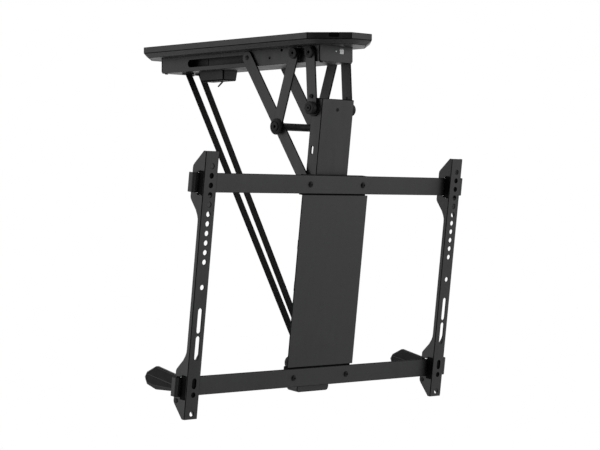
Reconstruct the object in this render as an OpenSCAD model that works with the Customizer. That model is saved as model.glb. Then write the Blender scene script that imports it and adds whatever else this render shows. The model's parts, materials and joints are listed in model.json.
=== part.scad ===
/* [Ceiling tray] */
// Length of the tray that hides the ceiling plate, front to rear
tray_len = 521; // [510:1:545]
// Width of the tray
tray_w = 156; // [148:1:170]
// How much the 45 degree cut takes off each side of a tray corner
tray_corner = 53; // [44:1:56]
// Height of the tray's upright rim
rim_h = 11; // [9:0.5:12]
// Height of the sloped band below the rim
slope_h = 8; // [7.5:0.25:8.5]
// How far the sloped band draws in
slope_in = 10; // [6:0.5:13]
// Sheet thickness of the tray
tray_wall = 2; // [1.5:0.1:2.4]
// Thickness of the steel plate on the ceiling
plate_t = 4; // [3:0.5:5]
// Distance between the ceiling bolts, side to side
ceiling_bolt_x = 104; // [96:1:112]
// Distance between the ceiling bolts, front to rear
ceiling_bolt_y = 430; // [400:1:440]
// Diameter of the ceiling bolt holes
ceiling_hole_d = 9; // [7:0.5:11]
// Width of the cable notch in the rim
notch_w = 15; // [12:1:18]
// Height of the cable notch in the rim
notch_h = 7; // [6:0.5:8]
// Distance from the cable notch to the tray's centre, sideways
notch_x = 46; // [44:1:50]

/* [Channel housing] */
// Length of the channel under the tray
channel_len = 403; // [396:1:412]
// Width of the channel
channel_w = 81; // [79:0.5:84]
// Depth of the channel's underside below the ceiling
channel_drop = 46; // [45.5:0.25:47]
// Sheet thickness of the channel
channel_wall = 2; // [1.6:0.1:2.4]
// Width of the lips that hang the channel on the plate
lip_w = 12; // [10:0.5:14]
// Thickness of the end panels
panel_t = 2; // [1.5:0.1:2.5]
// Chamfer on the lower corners of the end panels
panel_cut = 3; // [2:0.5:5]
// Where the front end of the side slots is
slot_front_y = -43; // [-46:1:-41]
// Where the rear end of the side slots is
slot_rear_y = 129.5; // [128:0.5:132]
// Height of the middle of the side slots
slot_z = -32; // [-32.2:0.1:-31.8]
// Height of the side slots
slot_h = 13; // [12.6:0.1:13.4]
// Width of the signal window in the front panel
window_w = 10; // [8:0.5:12]
// Height of the signal window
window_h = 11.5; // [9:0.5:12]
// Where the middle of the signal window is, sideways
window_x = 13; // [11:0.5:15]
// Diameter of the status light
led_d = 3; // [2.5:0.5:4]
// Height of the status light
led_z = -27; // [-29:0.5:-25]
// Diameter of the two small holes in each side
side_hole_d = 4.5; // [3:0.5:5]
// Diameter of the bolts that hold the channel to the plate
housing_bolt_d = 5; // [4:0.5:6]
// Diameter of the panel screws
panel_screw_d = 3; // [2.5:0.5:3.5]

/* [Fold pivots] */
// Height of the arm pivots on the channel
arm_pivot_z = -30.2; // [-30.6:0.1:-30.1]
// Where the short arms turn on the channel, front to rear
rear_pivot_y = -149.5; // [-152:0.5:-147]
// Where the front arms turn on the channel, front to rear
front_pivot_y = -182; // [-184:0.5:-180.5]
// Where the slider pins stand in the slots
slider_y = -28.5; // [-30:0.5:-27]
// Height of the slider pins
slider_z = -30.6; // [-30.8:0.1:-30.5]
// Where the knee joint is, front to rear
knee_y = -107.5; // [-109:0.25:-107.25]
// Height of the knee joint
knee_z = -153.7; // [-155:0.1:-152.5]

/* [Arms] */
// Thickness of the arms
arm_t = 3; // [2.5:0.1:3.4]
// Width of the short arms
short_arm_w = 21.4; // [19:0.1:21.6]
// Width of the front arms
front_arm_w = 21.6; // [19:0.1:21.6]
// Width of the long arms
long_arm_w = 22.5; // [20:0.5:22.5]
// Gap between the channel and the inner arms
side_gap = 1.4; // [1.2:0.1:1.8]
// Gap between the inner arms and the short arms
layer_gap = 2.9; // [2.4:0.1:3.4]
// Diameter of the pivot bolt shanks
shank_d = 8; // [6:0.5:9]
// Diameter of the pivot bolt heads on the channel
pivot_head_d = 19; // [16:0.5:20]
// Height of the pivot bolt heads on the channel
pivot_head_h = 4; // [3:0.5:5]
// Diameter of the knee caps
knee_cap_d = 28; // [24:1:30]
// Height of the knee caps
knee_cap_h = 5; // [4:0.5:7]
// Diameter of the cross tube between the knees
cross_tube_d = 13; // [12:0.5:13.5]
// Diameter of the slider pins
slider_pin_d = 5; // [4.5:0.1:5.2]
// Diameter of the slider rollers inside the channel
roller_d = 14; // [12:0.5:14.5]
// Length of the slider rollers
roller_len = 7; // [6:0.5:8]

/* [Screen frame] */
// Where the front of the rails hangs, front to rear
screen_y = -205; // [-207:0.5:-203]
// Height of the upper rail's top edge
screen_z = -239; // [-242:0.5:-236]
// Lean of the screen frame, its foot towards the rear
screen_tilt = 7.2; // [6.2:0.1:8.2]
// Width of the column
column_w = 77.5; // [75:0.5:79]
// Depth of the column
column_d = 24.6; // [24:0.1:25.5]
// Sheet thickness of the column
column_wall = 2.5; // [2:0.1:3]
// How far the column stands above the upper rail
column_rise = 129; // [126:1:132]
// Length of the column
column_len = 504; // [495:1:512]
// Radius of the column's lower corners
foot_r = 6; // [4:0.5:8]
// Depth of the pivots behind the column's front
pivot_inset = 17.8; // [17.2:0.1:18.2]
// Distance from the column's top end to the head shaft
head_drop = 18; // [17:0.5:20]
// Distance from the column's lower end to the foot shaft
foot_rise = 48.4; // [46.4:0.1:50]
// Diameter of the head shaft and the foot shaft
shaft_d = 8; // [7:0.5:9]
// Diameter of the discs between the front arms and the column's head
head_disc_d = 28; // [26:0.5:30]
// Diameter of the caps outside the front arms at the column's head
head_cap_d = 22; // [20:0.5:24]
// Thickness of these caps
head_cap_h = 8; // [6:0.5:9]
// Distance from the column's head shaft to the stop screws in the front arms
stop_rise = 20; // [19.5:0.5:24]
// Diameter of the stop screws' heads
stop_d = 7.6; // [6:0.1:8]
// Diameter of the foot caps
foot_cap_d = 24; // [22:0.5:26]
// Length of the foot caps
foot_cap_len = 7.7; // [6:0.1:9]
// Height of the small slot in the column's sides
side_slot_z = 40; // [36:1:44]
// Length of the small slot in the column's sides
side_slot_len = 13; // [10:0.5:16]
// Width of the small slot in the column's sides
side_slot_w = 4; // [3:0.5:5]
// Height of the lowest tie bar, from the upper rail's top edge
tie_low_z = -275; // [-278:1:-270]
// Distance between the tie bars
tie_pitch = 72; // [68:1:76]
// Height of a tie bar
tie_h = 16; // [12:1:20]
// How far a tie bar stands out beside the column
tie_ear = 2.5; // [2:0.5:3]

/* [Rails] */
// Length of a rail over its bent ends
rail_len = 663; // [652:1:680]
// Height of a rail
rail_h = 31.5; // [30:0.5:33]
// Sheet thickness of a rail
rail_t = 3; // [2.5:0.1:3.5]
// Depth of a rail's bent ends
rail_tab_d = 12; // [10:0.5:14]
// How far the column stands behind the rails' front
rail_stand = 14.8; // [14:0.1:15.4]
// Distance between the rails' top edges
rail_pitch = 330; // [324:1:336]
// Distance between the two bolts of a rail
rail_bolt_pitch = 129; // [120:1:134]
// Diameter of the rail bolts
rail_bolt_d = 6; // [5:0.5:7]
// Length of the cleats that carry the rails
cleat_len = 152; // [148:1:156]
// How far a cleat shows past its rail, towards the centre plate
cleat_lip = 3; // [2:0.5:5]
// Width of the centre plate
centre_plate_w = 160; // [154:1:164]
// Thickness of the centre plate
centre_plate_t = 2; // [1.5:0.1:2.5]
// How far the centre plate lies behind the rails' front
centre_plate_y = 1.5; // [1:0.1:2]

/* [Screen brackets] */
// Distance from the rails' left end to the middle of the left bracket
left_margin = 24.5; // [20:0.5:40]
// Distance from the rails' right end to the middle of the right bracket
right_margin = 38.5; // [30:0.5:50]
// Distance between the highest and the lowest bracket hole
vesa_h = 400; // [396:1:402]
// Width of a bracket
bracket_w = 28.5; // [27:0.5:30]
// Sheet thickness of a bracket
bracket_wall = 2; // [1.6:0.1:2.4]
// How far a bracket stands in front of the rails
bracket_front = 13.7; // [13:0.1:15]
// How far a bracket rises above the upper rail
bracket_rise = 36; // [34:0.5:38]
// How far a bracket reaches below the lower rail
bracket_drop = 35.5; // [33:0.5:38]
// Depth of the narrow stretch of a bracket's side flanges
flange_d = 7.3; // [6.5:0.1:8.5]
// Depth of the side flanges beside the rails
hook_d = 28.8; // [27.5:0.1:30]
// Length over which the flanges narrow beyond a rail
hook_run = 47; // [44:1:49]
// How far a bracket's pads reach past their rail, above and below it
pad_lip = 3.5; // [3:0.1:4]
// Distance from the upper rail's top edge up to the highest hole
vesa_hole_rise = 12; // [11:0.5:13]
// How far the holes sit beside the middle of a bracket
vesa_hole_shift = 1.5; // [0:0.5:2]
// Diameter of the bracket holes
vesa_hole_d = 8.5; // [8:0.1:9]
// Distance between the bracket holes in the upper row
vesa_hole_pitch = 15.4; // [15:0.1:15.8]

/* [Latch levers] */
// Width of a lever
lever_w = 13; // [11:0.5:14.5]
// How far a lever sits beside the middle of its bracket
lever_shift = -3.5; // [-4:0.5:-2]
// How far a lever reaches behind the rails' front
lever_reach = 97; // [90:1:104]
// Height of a lever's grip
lever_h = 38; // [34:1:42]
// Chamfer around a lever's grip
lever_cut = 3; // [2:0.5:4]
// Diameter of a lever's hub
lever_hub_d = 14; // [12:0.5:14.5]
// Diameter of a lever's pin
lever_pin_d = 5; // [4:0.5:6]

/* [Winch and straps] */
// Where the straps leave the channel, front to rear
strap_exit_y = 156; // [154:0.5:158]
// Distance between the straps where they leave the channel
strap_top_pitch = 32; // [31:0.5:34]
// Distance between the straps at the foot
strap_foot_pitch = 19; // [18.8:0.1:21]
// Width of a strap
strap_w = 15.5; // [14:0.5:17]
// Thickness of a strap
strap_t = 2; // [1.5:0.1:2.4]
// Diameter of the straps wound on the drum
wound_d = 28; // [26:0.5:29]
// Diameter of the drum's flanges
drum_flange_d = 34; // [32:0.5:35]
// Height of the drum shaft
drum_z = -24; // [-24.5:0.1:-23.5]
// Diameter of the drum shaft
drum_shaft_d = 10; // [8:0.5:11]
// Diameter of a strap guide
guide_d = 22; // [21.8:0.1:23]
// Height of a strap guide
guide_h = 3; // [2:0.5:4]
// Diameter of the motor
motor_d = 34; // [30:0.5:35]
// Length of the motor
motor_len = 92; // [84:1:98]
// Length of the gearbox's wide part
gearbox_len = 38; // [34:1:42]
// Width of the gearbox's wide part
gearbox_w = 44; // [40:1:48]

/* [Electronics] */
// Length of the control board
board_len = 78; // [70:1:82]
// Width of the control board
board_w = 54; // [48:1:56]
// Thickness of the control board
board_t = 1.6; // [1.2:0.1:2]
// Length of the power supply
supply_len = 88; // [80:1:92]
// Width of the power supply
supply_w = 50; // [44:1:54]
// Height of the power supply
supply_h = 26; // [22:0.5:30]
// Length of the receiver box
receiver_len = 65; // [60:1:70]
// Width of the receiver box
receiver_w = 36; // [32:1:42]
// Height of the receiver box
receiver_h = 18; // [16:0.25:18.5]
// Where the middle of the receiver box is, front to rear
receiver_y = 93; // [90:0.5:96]
// Draft of the receiver box's sides
receiver_draft = 2; // [1:0.5:3]
// Length of the antenna
antenna_len = 14; // [10:1:16]
// Lean of the antenna towards the rear
antenna_lean = 55; // [45:1:70]

/* [Hidden] */
$fn = 48;
// Play between two pieces that turn on each other, on the radius
run = 0.05;
// Play round a pin or plug that is fixed in its hole, on the radius
fit = 0.1;
// Gap between pieces that pass each other
seat = 0.3;
// How far a cutting shape runs past what it cuts
over = 1;
// Thickness of the thin slabs that round and sloped shapes are stretched between
sliver = 0.05;

// Colours of the finishes
steel = "#3c3c3d";
dark_steel = "#333334";
black = "#17171a";
plastic = "#242425";
zinc = "#8d9093";
board_green = "#1f4a35";
webbing = "#14120f";
lens = "#8a8f92";

tray_h = rim_h + slope_h;
plate_inset = tray_wall + seat;
// How much less a parallel, smaller octagon cuts off its corners
corner_share = 2 - sqrt(2);
channel_x = channel_w / 2;
channel_in_x = channel_x - channel_wall;
body_len = channel_len - 2 * panel_t;
channel_top = -plate_t;
floor_top = -channel_drop + channel_wall;
inner_x = channel_x + side_gap;
outer_x = inner_x + arm_t + layer_gap;
inner_end_x = inner_x + arm_t;
inner_head_x = inner_end_x + seat;
outer_head_x = outer_x + arm_t + seat;
rear_pivot = [rear_pivot_y, arm_pivot_z];
front_pivot = [front_pivot_y, arm_pivot_z];
slider = [slider_y, slider_z];
knee = [knee_y, knee_z];

// A point of the screen frame, given behind the rails' front and above the rail's top edge
function screen_point(y, z) = [
    screen_y + y * cos(screen_tilt) - z * sin(screen_tilt),
    screen_z + y * sin(screen_tilt) + z * cos(screen_tilt)];
// How far a point lies behind the rails' front
function behind(p) = (p[0] - screen_y) * cos(screen_tilt) + (p[1] - screen_z) * sin(screen_tilt);

column_x = column_w / 2;
column_y = rail_stand;
pivot_y = column_y + pivot_inset;
column_foot_z = column_rise - column_len;
head_z = column_rise - head_drop;
foot_z = column_foot_z + foot_rise;
head = screen_point(pivot_y, head_z);
foot = screen_point(pivot_y, foot_z);
// The long arm runs straight on from the slider through the knee to the column's pivot line
long_dir = (knee - slider) / norm(knee - slider);
hip_run = (pivot_y - behind(knee)) / (long_dir[0] * cos(screen_tilt) + long_dir[1] * sin(screen_tilt));
hip = knee + long_dir * hip_run;

strap_exit = [strap_exit_y, -channel_drop];
strap_dir = (foot - strap_exit) / norm(foot - strap_exit);
anchor_r = shaft_d / 2 + 4 * strap_t / 2;
drum_off = wound_d / 2 + strap_t / 2 + seat;
drum_y = strap_exit_y + (drum_off + (drum_z + channel_drop) * strap_dir[0]) / strap_dir[1];
drum = [drum_y, drum_z];
strap_start = strap_exit + strap_dir * ((drum - strap_exit) * strap_dir);

left_bracket_x = left_margin - rail_len / 2;
right_bracket_x = rail_len / 2 - right_margin;
bracket_len = bracket_rise + rail_pitch + rail_h + bracket_drop;

// Puts its children into the leaning frame of the screen
module on_screen() {
    translate([0, screen_y, screen_z])
        rotate([screen_tilt, 0, 0])
            children();
}

// Its children and their mirror image on the other side
module both_sides() {
    children();
    mirror([1, 0, 0])
        children();
}

// A flat outline, drawn front to rear and upwards, as a plate of thickness t from x0
module side_plate(x0, t) {
    translate([x0, 0, 0])
        rotate([90, 0, 90])
            linear_extrude(t)
                children();
}

// A flat outline, drawn sideways and upwards, as a plate of thickness t from y0
module front_plate(y0, t) {
    translate([0, y0 + t, 0])
        rotate([90, 0, 0])
            linear_extrude(t)
                children();
}

// A round bar across the part from x0 to x1, at a place front to rear and up
module cross_bar(p, x0, x1, d) {
    translate([x0, p[0], p[1]])
        rotate([0, 90, 0])
            cylinder(h = x1 - x0, d = d);
}

// A flat bar outline with round ends from p to q
module bar_outline(p, q, w) {
    span = q - p;
    translate(p)
        rotate(atan2(span[1], span[0])) {
            translate([0, -w / 2])
                square([norm(span), w]);
            circle(d = w);
            translate([norm(span), 0])
                circle(d = w);
        }
}

// An upright slot outline around the origin
module slot_outline(len, w) {
    bar_outline([0, -(len - w) / 2], [0, (len - w) / 2], w);
}

// A rectangle with its four corners cut off at 45 degrees
module octagon(len, w, corner) {
    x = w / 2;
    y = len / 2;
    polygon([
        [x - corner, -y], [x, corner - y], [x, y - corner], [x - corner, y],
        [corner - x, y], [-x, y - corner], [-x, corner - y], [corner - x, -y]]);
}

// The tray's octagon, drawn in by inset on every side
module tray_outline(inset) {
    octagon(tray_len - 2 * inset, tray_w - 2 * inset, tray_corner - corner_share * inset);
}

module ceiling_plate() {
    color(dark_steel)
        translate([0, 0, -plate_t])
            difference() {
                linear_extrude(plate_t)
                    tray_outline(plate_inset);
                for (x = [-1, 1], y = [-1, 1])
                    translate([x * ceiling_bolt_x / 2, y * ceiling_bolt_y / 2, -over])
                        cylinder(h = plate_t + 2 * over, d = ceiling_hole_d);
                housing_bolt_places()
                    translate([0, 0, -over])
                        cylinder(h = plate_t + 2 * over, d = housing_bolt_d + 2 * fit);
            }
}

// A solid of the tray's form, drawn in by inset and cut off at depth
module tray_form(inset, depth) {
    hull() {
        translate([0, 0, -rim_h])
            linear_extrude(rim_h)
                tray_outline(inset);
        translate([0, 0, -depth])
            linear_extrude(sliver)
                tray_outline(inset + slope_in * (depth - rim_h) / slope_h);
    }
}

// Puts its children on the slanting near side of the tray, at the cable notch
module at_notch() {
    corner_sum = tray_w / 2 + tray_len / 2 - tray_corner;
    translate([-notch_x, notch_x - corner_sum, 0])
        rotate(-45)
            children();
}

module tray_cover() {
    color(steel)
        difference() {
            tray_form(0, tray_h);
            tray_form(tray_wall, tray_h - tray_wall);
            translate([0, 0, -tray_wall])
                linear_extrude(tray_wall + over)
                    tray_outline(tray_wall);
            translate([-channel_x - fit, -channel_len / 2 - fit, -tray_h - over])
                cube([channel_w + 2 * fit, channel_len + 2 * fit, tray_h]);
            at_notch()
                translate([-notch_w / 2, -2 * tray_wall, -notch_h])
                    cube([notch_w, 4 * tray_wall, notch_h + over]);
        }
}

module notch_plug() {
    lip = tray_wall / 2;
    color(black)
        at_notch()
            translate([-notch_w / 2 + fit, -lip, -notch_h + fit])
                cube([notch_w - 2 * fit, tray_wall + lip, notch_h - 2 * fit]);
}

// The places of the bolts that hold the channel's lips
module housing_bolt_places() {
    for (x = [-1, 1], y = [-1, 0, 1])
        translate([x * (channel_x + lip_w / 2), y * (body_len / 2 - lip_w), 0])
            children();
}

// The places of the straps where they pass the channel's floor
module strap_places() {
    for (x = [-1, 1])
        translate([x * strap_top_pitch / 2, strap_exit_y, 0])
            children();
}

module channel_housing() {
    exit_len = 5 * strap_t;
    side_holes = [
        [channel_len * -0.2, channel_drop * -0.73],
        [channel_len * -0.273, channel_drop * -0.48]];
    color(steel)
        difference() {
            union() {
                translate([-channel_x, -body_len / 2, -channel_drop])
                    cube([channel_w, body_len, channel_drop + channel_top]);
                translate([-channel_x - lip_w, -body_len / 2, channel_top - channel_wall])
                    cube([channel_w + 2 * lip_w, body_len, channel_wall]);
            }
            translate([-channel_in_x, -body_len / 2 - over, floor_top])
                cube([2 * channel_in_x, body_len + 2 * over, channel_drop]);
            side_plate(-channel_x - over, channel_w + 2 * over)
                bar_outline([slot_front_y + slot_h / 2, slot_z], [slot_rear_y - slot_h / 2, slot_z], slot_h);
            for (p = [rear_pivot, front_pivot])
                cross_bar(p, -channel_x - over, channel_x + over, shank_d + 2 * fit);
            for (p = side_holes)
                cross_bar(p, -channel_x - over, channel_x + over, side_hole_d);
            for (turn = [0, 180])
                rotate(turn)
                    panel_screw_places()
                        translate([0, 0, -channel_drop - over])
                            cylinder(h = channel_wall + 2 * over, d = panel_screw_d + 2 * fit);
            housing_bolt_places()
                translate([0, 0, channel_top - channel_wall - over])
                    cylinder(h = channel_wall + 2 * over, d = housing_bolt_d + 2 * fit);
            strap_places()
                translate([-strap_w / 2 - fit, -exit_len / 2, -channel_drop - over])
                    cube([strap_w + 2 * fit, exit_len, channel_wall + 2 * over]);
        }
}

module housing_bolts() {
    head_h = housing_bolt_d / 2;
    color(zinc)
        housing_bolt_places()
            translate([0, 0, channel_top - channel_wall]) {
                cylinder(h = channel_wall + plate_t - fit, d = housing_bolt_d);
                translate([0, 0, -head_h])
                    cylinder(h = head_h, d = 2 * housing_bolt_d, $fn = 6);
            }
}

// The outline of an end panel, with its two lower corners cut
module panel_outline() {
    polygon([
        [-channel_x, channel_top], [-channel_x, panel_cut - channel_drop],
        [panel_cut - channel_x, -channel_drop], [channel_x - panel_cut, -channel_drop],
        [channel_x, panel_cut - channel_drop], [channel_x, channel_top]]);
}

// The places of the screws that come up through the floor behind the front panel
module panel_screw_places() {
    for (x = [-1, 1])
        translate([x * (channel_in_x - 2 * panel_screw_d), panel_t + panel_screw_d - channel_len / 2, 0])
            children();
}

// The two blocks behind the front panel that its screws bite into
module panel_blocks() {
    side = 2 * panel_screw_d;
    panel_screw_places()
        translate([-side / 2, -side / 2, floor_top])
            cube([side, side, side]);
}

// What the screws need of a panel's blocks
module panel_screw_bores() {
    panel_screw_places()
        translate([0, 0, floor_top - over])
            cylinder(h = 2 * panel_screw_d + 2 * over, d = panel_screw_d + 2 * fit);
}

module front_panel() {
    y0 = -channel_len / 2;
    color(steel)
        difference() {
            union() {
                front_plate(y0, panel_t)
                    panel_outline();
                panel_blocks();
            }
            translate([window_x - window_w / 2, y0 - over, -tray_h - window_h - over])
                cube([window_w, panel_t + 2 * over, window_h]);
            translate([0, y0 - over, led_z])
                rotate([-90, 0, 0])
                    cylinder(h = panel_t + 2 * over, d = led_d);
            panel_screw_bores();
        }
}

module rear_panel() {
    color(steel)
        rotate(180)
            difference() {
                union() {
                    front_plate(-channel_len / 2, panel_t)
                        panel_outline();
                    panel_blocks();
                }
                panel_screw_bores();
            }
}

module panel_screws() {
    head_h = panel_screw_d / 2;
    color(black)
        for (turn = [0, 180])
            rotate(turn)
                panel_screw_places()
                    translate([0, 0, -channel_drop]) {
                        cylinder(h = channel_wall + panel_screw_d, d = panel_screw_d);
                        translate([0, 0, -head_h])
                            cylinder(h = head_h, d = 1.9 * panel_screw_d);
                    }
}

module ir_window() {
    y0 = -channel_len / 2;
    rim = panel_t / 2;
    color(lens) {
        translate([window_x - window_w / 2 + fit, y0 - rim / 4, -tray_h - window_h - over + fit])
            cube([window_w - 2 * fit, panel_t + rim / 4, window_h - 2 * fit]);
        translate([window_x - window_w / 2 - rim, y0 + panel_t, -tray_h - window_h - over - rim])
            cube([window_w + 2 * rim, rim, window_h + 2 * rim]);
    }
}

module status_led() {
    color("#c9d4d6")
        translate([0, -channel_len / 2, led_z])
            rotate([-90, 0, 0]) {
                cylinder(h = panel_t, d = led_d - 2 * fit);
                translate([0, 0, panel_t])
                    cylinder(h = led_d, d = led_d + 2 * fit);
            }
}

board_front_y = front_pivot_y - pivot_head_d / 4;
board_z = channel_top - board_w / 7;

module control_board() {
    chip = board_w / 4;
    board_low_z = board_z - board_t;
    color(board_green) {
        translate([-board_w / 2, board_front_y, board_z - board_t])
            cube([board_w, board_len, board_t]);
        for (place = [[-1, 1], [0, 2], [1, 3], [-1, 4]])
            translate([place[0] * board_w / 3.2, board_front_y + place[1] * board_len / 6, board_low_z])
                translate([-chip / 2, 0, -chip / 2])
                    cube([chip, chip, chip / 2]);
        for (y = [3, 5])
            translate([board_w / 5, board_front_y + y * board_len / 6, board_z - board_t - chip])
                cylinder(h = chip, d = chip / 1.6);
    }
}

module board_standoffs() {
    post = board_w / 9;
    color(zinc)
        for (x = [-1, 1], y = [0, 1])
            translate([x * (board_w / 2 - post), board_front_y + post + y * (board_len - 2 * post), board_z])
                cylinder(h = channel_top - board_z, d = post, $fn = 6);
}

supply_front_y = board_front_y + board_len + 3 * channel_wall;

module power_supply() {
    color(dark_steel)
        difference() {
            translate([-supply_w / 2, supply_front_y, channel_top - supply_h])
                cube([supply_w, supply_len, supply_h]);
            for (y = [1 : 7])
                translate([0, supply_front_y + y * supply_len / 8, channel_top - supply_h - over])
                    translate([-supply_w / 3, 0, 0])
                        cube([2 * supply_w / 3, supply_len / 24, channel_wall + over]);
        }
}

gearbox_rear_y = drum_y - drum_flange_d / 2 - 2 * seat;
gearbox_front_y = gearbox_rear_y - gearbox_len;
motor_front_y = gearbox_front_y - motor_len;

module winch_motor() {
    color(zinc)
        translate([0, motor_front_y, drum_z])
            rotate([-90, 0, 0]) {
                cylinder(h = motor_len, d = motor_d);
                translate([0, 0, -panel_t])
                    cylinder(h = panel_t, d = motor_d / 3);
            }
}

// Two side plates beside the motor, with two blocks between them that hold it
module motor_clamps() {
    clamp_len = motor_d / 3;
    clamp_x = gearbox_w / 2;
    front = supply_front_y + supply_len + seat;
    len = gearbox_front_y - seat - front;
    h = channel_top - floor_top;
    color(dark_steel)
        difference() {
            union() {
                for (share = [0.2, 0.7])
                    translate([-clamp_x, motor_front_y + share * motor_len, floor_top])
                        cube([2 * clamp_x, clamp_len, h]);
                for (x = [-clamp_x, clamp_x - channel_wall])
                    translate([x, front, floor_top])
                        cube([channel_wall, len, h]);
            }
            translate([0, front - over, drum_z])
                rotate([-90, 0, 0])
                    cylinder(h = len + 2 * over, d = motor_d + 2 * fit);
        }
}

neck_x = (strap_top_pitch - strap_w) / 2 - 3 * seat;

module winch_gearbox() {
    neck_h = drum_shaft_d + 4 * panel_t;
    color(plastic)
        difference() {
            union() {
                translate([-gearbox_w / 2, gearbox_front_y, floor_top])
                    cube([gearbox_w, gearbox_len, channel_top - floor_top]);
                translate([-neck_x + panel_t, gearbox_rear_y - over, drum_z - neck_h / 2])
                    cube([2 * (neck_x - panel_t), drum_y - gearbox_rear_y + over, neck_h]);
                cross_bar(drum, -neck_x + panel_t, neck_x - panel_t, neck_h);
            }
            cross_bar(drum, -neck_x - over, neck_x + over, drum_shaft_d + 2 * run);
        }
}

bearing_x0 = strap_top_pitch / 2 + strap_w / 2 + panel_t + 2 * seat;

module drum_bearings() {
    block = 2 * drum_shaft_d;
    color(zinc)
        both_sides()
            difference() {
                translate([bearing_x0, drum_y - block / 2, drum_z - block / 2])
                    cube([channel_in_x - bearing_x0, block, block]);
                cross_bar(drum, bearing_x0 - over, channel_in_x + over, drum_shaft_d + 2 * run);
            }
}

module drum_shaft() {
    color(zinc)
        cross_bar(drum, -channel_in_x + seat, channel_in_x - seat, drum_shaft_d);
}

module strap_spools() {
    spool_x = strap_top_pitch / 2;
    half = strap_w / 2 + seat;
    color(black)
        both_sides()
            difference() {
                union() {
                    cross_bar(drum, spool_x - half, spool_x + half, wound_d);
                    cross_bar(drum, spool_x - half - panel_t / 2, spool_x - half, drum_flange_d);
                    cross_bar(drum, spool_x + half, spool_x + half + panel_t / 2, drum_flange_d);
                }
                cross_bar(drum, spool_x - strap_w, spool_x + strap_w, drum_shaft_d + 2 * fit);
            }
}

// A flat strap between two points in space, its width across the part
module strap_between(p, q) {
    span = q - p;
    translate(p)
        rotate([atan2(span[1], -span[2]), 0, 0])
            rotate([0, -asin(span[0] / norm(span)), 0])
                translate([-strap_w / 2, -strap_t / 2, -norm(span)])
                    cube([strap_w, strap_t, norm(span)]);
}

module strap_leads() {
    stop = strap_exit - strap_dir * (channel_wall + seat);
    color(webbing)
        for (x = [-1, 1])
            strap_between(
                [x * strap_top_pitch / 2, strap_start[0], strap_start[1]],
                [x * strap_top_pitch / 2, stop[0], stop[1]]);
}

module lift_straps() {
    top = strap_exit - strap_dir * channel_wall;
    bottom = foot - strap_dir * (anchor_r + seat);
    color(webbing)
        for (x = [-1, 1])
            strap_between(
                [x * strap_top_pitch / 2, top[0], top[1]],
                [x * strap_foot_pitch / 2, bottom[0], bottom[1]]);
}

module strap_guides() {
    mouth = 4 * strap_t;
    color(black)
        strap_places()
            difference() {
                translate([0, 0, -channel_drop - guide_h])
                    cylinder(h = guide_h, d = guide_d);
                translate([-strap_w / 2 - fit, -mouth / 2, -channel_drop - guide_h - over])
                    cube([strap_w + 2 * fit, mouth, guide_h + 2 * over]);
            }
}

// A flat box of the receiver's outline, drawn in by inset, with its lower face at depth
module receiver_slab(inset, depth, h) {
    w = receiver_w - 2 * inset;
    len = receiver_len - 2 * inset;
    translate([-w / 2, receiver_y - len / 2, -channel_drop - depth])
        cube([w, len, h]);
}

// A drafted box under the channel's floor, drawn in by inset
module receiver_form(inset, depth) {
    hull() {
        receiver_slab(inset, sliver, sliver);
        receiver_slab(inset + receiver_draft * depth / receiver_h, depth, sliver);
    }
}

module receiver_case() {
    color(plastic)
        difference() {
            receiver_form(0, receiver_h);
            receiver_form(panel_t, receiver_h - panel_t);
            receiver_slab(panel_t, panel_t, panel_t + over);
        }
}

module receiver_antenna() {
    wire_d = led_d;
    color(black)
        translate([0, receiver_y - receiver_len / 6, -channel_drop - receiver_h]) {
            translate([0, 0, -wire_d / 2])
                cylinder(h = wire_d / 2, d = 2 * wire_d);
            translate([0, 0, -wire_d / 2])
                rotate([antenna_lean, 0, 0])
                    translate([0, 0, -antenna_len])
                        cylinder(h = antenna_len, d = wire_d);
        }
}

// The arm bolts and their nuts on one side: where each stands and how far out its arm lies
bolt_places = [[rear_pivot, outer_x], [front_pivot, inner_x]];

module pivot_bolts() {
    nut_x = channel_in_x - shank_d;
    color(black)
        both_sides()
            for (b = bolt_places) {
                head_x = b[1] + arm_t + seat;
                cross_bar(b[0], nut_x, head_x, shank_d);
                cross_bar(b[0], head_x, head_x + pivot_head_h, pivot_head_d);
                translate([channel_in_x - 0.75 * shank_d, b[0][0], b[0][1]])
                    rotate([0, 90, 0])
                        cylinder(h = 0.75 * shank_d, d = 2 * shank_d, $fn = 6);
            }
}

module pivot_spacers() {
    color(black)
        both_sides()
            for (b = bolt_places)
                difference() {
                    cross_bar(b[0], channel_x, b[1] - seat, pivot_head_d);
                    cross_bar(b[0], channel_x - over, b[1] + over, shank_d + 2 * fit);
                }
}

module short_arm() {
    color(steel)
        difference() {
            side_plate(outer_x, arm_t)
                bar_outline(rear_pivot, knee, short_arm_w);
            for (p = [rear_pivot, knee])
                cross_bar(p, outer_x - over, outer_x + arm_t + over, shank_d + 2 * run);
        }
}

module short_arm_right() {
    short_arm();
}

module short_arm_left() {
    mirror([1, 0, 0])
        short_arm();
}

module long_arm() {
    color(steel)
        difference() {
            side_plate(inner_x, arm_t)
                bar_outline(slider, hip, long_arm_w);
            cross_bar(slider, inner_x - over, inner_x + arm_t + over, slider_pin_d + 2 * fit);
            cross_bar(knee, inner_x - over, inner_x + arm_t + over, shank_d + 2 * fit);
            cross_bar(hip, inner_x + arm_t / 2, inner_x + arm_t + over, shank_d + 2 * fit);
        }
}

module long_arm_right() {
    long_arm();
}

module long_arm_left() {
    mirror([1, 0, 0])
        long_arm();
}

module cross_tube() {
    color(black)
        difference() {
            cross_bar(knee, -inner_x, inner_x, cross_tube_d);
            cross_bar(knee, -inner_x - over, inner_x + over, shank_d + 2 * fit);
        }
}

module knee_bolts() {
    color(black)
        both_sides() {
            cross_bar(knee, inner_x - 2 * shank_d, outer_head_x, shank_d);
            cross_bar(knee, inner_end_x, outer_x - seat, 2 * shank_d);
            cross_bar(knee, outer_head_x, outer_head_x + knee_cap_h, knee_cap_d);
        }
}

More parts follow.
